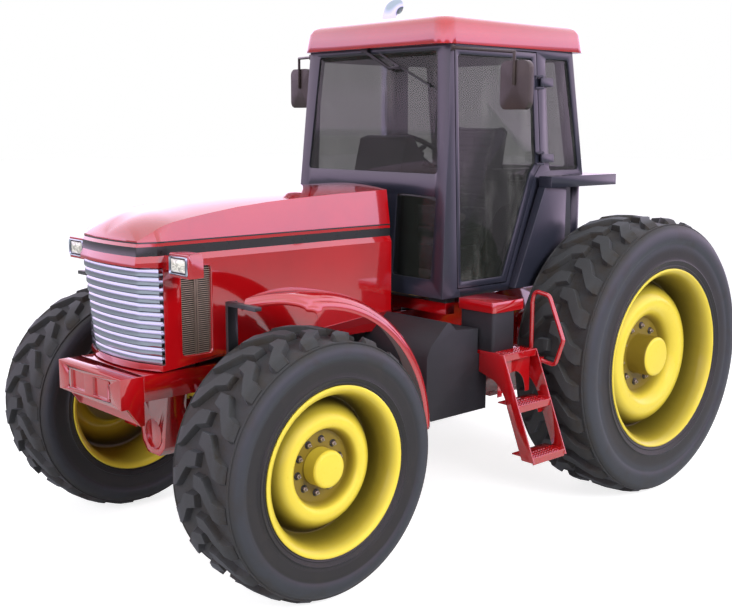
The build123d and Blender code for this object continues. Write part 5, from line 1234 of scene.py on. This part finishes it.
def inflated(name, shape, cap, pressure=4.0):
    """A shape remeshed into even cells and blown up as cloth; no point moves further than the cap."""
    draft = make(name + "_draft", shape, seat_leather, "chassis")
    cells = draft.modifiers.new("even cells", "REMESH")
    cells.mode, cells.voxel_size = "VOXEL", PAD_CELL
    bpy.context.view_layer.update()
    even = bpy.data.meshes.new_from_object(draft.evaluated_get(bpy.context.evaluated_depsgraph_get()))
    bpy.data.objects.remove(draft)
    start = np.empty(len(even.vertices) * 3, np.float32)
    even.vertices.foreach_get("co", start)
    skin = bpy.data.objects.new(name + "_skin", even)
    bpy.context.scene.collection.objects.link(skin)
    cloth_of = skin.modifiers.new("cloth", "CLOTH")
    cloth_of.settings.quality = 4
    cloth_of.settings.use_pressure = True
    cloth_of.settings.uniform_pressure_force = pressure
    cloth_of.settings.effector_weights.gravity = 0.0
    cloth_of.point_cache.frame_start, cloth_of.point_cache.frame_end = 1, CLOTH_FRAMES
    for step in range(1, CLOTH_FRAMES + 1):
        bpy.context.scene.frame_set(step)
    blown = bpy.data.meshes.new_from_object(skin.evaluated_get(bpy.context.evaluated_depsgraph_get()))
    end = np.empty_like(start)
    blown.vertices.foreach_get("co", end)
    bpy.data.objects.remove(skin)
    bpy.data.meshes.remove(blown)
    bpy.context.scene.frame_set(1)
    move = (end - start).reshape(-1, 3)
    length = np.linalg.norm(move, axis=1, keepdims=True)
    start += (move * np.minimum(1.0, cap / np.maximum(length, 1e-9))).astype(np.float32).ravel()
    print(name, "swelled by up to", round(float(length.max()) * 1000, 1), "mm, kept within", cap * 1000)
    faces = np.empty(len(even.polygons) * 4, np.int32)
    even.loops.foreach_get("vertex_index", faces)
    bpy.data.meshes.remove(even)
    return start.reshape(-1, 3).astype(float), [faces.reshape(-1, 4)]


def dent(place, seams, width):
    """How deep the nearest seam is at a place: the largest of the bell curves
    exp(-((place - seam) / width)^2)."""
    return np.exp(-((place[:, None] - np.asarray(seams)[None]) / width) ** 2).max(axis=1)


# %% Seat: cushion and back
def sloped_block(profile, half, radius=0.03):
    """A block whose side outline (y, z) is rounded, carried from -half to half along x with soft ends."""
    outline = rounded_outline(profile, radius, 6)
    middle = outline.mean(axis=0)
    rows = []
    for x, share in ((-half, 0.90), (-half + 0.012, 0.97), (-half + 0.03, 1.0),
                     (half - 0.03, 1.0), (half - 0.012, 0.97), (half, 0.90)):
        ring = middle + (outline - middle) * share
        rows.append(np.column_stack([np.full(len(ring), x), ring]))
    area = np.sum(outline[:, 0] * np.roll(outline[:, 1], -1) - outline[:, 1] * np.roll(outline[:, 0], -1))
    rows = np.stack(rows)
    return capped(rows if area > 0 else rows[:, ::-1])


points, faces = inflated("seat_cushion", sloped_block(
    [(ahead(0.848), 1.703), (ahead(0.415), 1.703), (ahead(0.420), 1.786), (ahead(0.600), 1.792),
     (ahead(0.780), 1.800), (ahead(0.850), 1.788)], 0.243), 0.024)
on_top = np.clip((points[:, 2] - 1.745) / 0.04, 0, 1)
rib_y = ahead(np.arange(0.47, 0.83, RIB_PITCH))
inner = np.clip((0.168 - np.abs(points[:, 0])) / 0.012, 0, 1)
points[:, 2] -= RIB_DEPTH * dent(points[:, 1], rib_y, RIB_WIDTH) * on_top * inner
points[:, 2] -= SEAM_DEPTH * dent(np.abs(points[:, 0]), [0.172], SEAM_WIDTH) * on_top
cushion = make("seat_cushion", (points, faces), [seat_leather, seat_piping], "chassis")
points, faces = inflated("seat_back", sloped_block(
    [(ahead(0.458), 1.836), (ahead(0.384), 1.836), (ahead(0.278), 2.356), (ahead(0.333), 2.358),
     (ahead(0.420), 2.110)], 0.232), 0.022)
lean = (points[:, 2] - 1.82) * 0.2
middle_line = ahead(0.40) + lean
front_side = np.clip((middle_line - points[:, 1]) / 0.02, 0, 1)
rib_z = np.arange(1.90, 2.33, RIB_PITCH)
inner = np.clip((0.160 - np.abs(points[:, 0])) / 0.012, 0, 1)
points[:, 1] += RIB_DEPTH * dent(points[:, 2], rib_z, RIB_WIDTH) * front_side * inner
points[:, 1] += SEAM_DEPTH * dent(np.abs(points[:, 0]), [0.166], SEAM_WIDTH) * front_side
back = make("seat_back", (points, faces), [seat_leather, seat_piping], "chassis", "seat_pads")
for pad in (cushion, back):
    smoother = pad.modifiers.new("smooth leather", "SUBSURF")
    smoother.levels = smoother.render_levels = 1
    paint_faces(pad, lambda centre, normal: np.abs(centre[:, 0]) > 0.224)
print("seat pads", len(cushion.data.polygons), len(back.data.polygons), "faces")


# %% [markdown]
# ## Finishes on the machine's own pieces
# Every piece that keeps its own shape gets the finish of its material slot. Its mesh is a bag of loose
# triangles, so its seams are welded before a small bevel rounds the edges. The knuckles' fender struts are
# black.

# %% Finishes for the rest
NODE_ROUNDING = 0.0025
SLOT_FINISH = {
    "red_paint": red_enamel, "rim_yellow": front_gold, "tyre_rubber": front_rubber, "cab_black": cab_black,
    "cab_glass": cab_glass, "carpet": mat_carpet, "moulded_black": moulded_black,
    "seat_leather": seat_leather, "tank_grey": tank_plastic, "chrome": chrome, "engine_grey": engine_iron,
    "screen_mesh": screen_wire, "lamp_glass": lamp_lens, "tail_red": tail_lens,
    "bright_steel": machined_steel,
}
NODE_FINISH = {"mirrors": shell_brown, "wheel_house": cab_black}
for subpart in frame["record"]["subparts"]:
    node = frame["nodes"][subpart["node"]]
    node.data.materials.clear()
    node.data.materials.append(NODE_FINISH.get(subpart["node"], SLOT_FINISH[subpart["material_slot"]]))
    if node.hide_render:
        continue
    close_seams(node, 0.00002)
    round_edges(node, NODE_ROUNDING)
    node.data.shade_smooth()
for side in ("left", "right"):
    knuckle = frame["nodes"][f"knuckle_{side}"]
    knuckle.data.materials.append(strut_black)
    paint_faces(knuckle, lambda centre, normal: (np.abs(centre[:, 0]) < 0.69) | (centre[:, 2] > 1.1))
print(len(frame["nodes"]), "nodes dressed")

# %% An import
import json
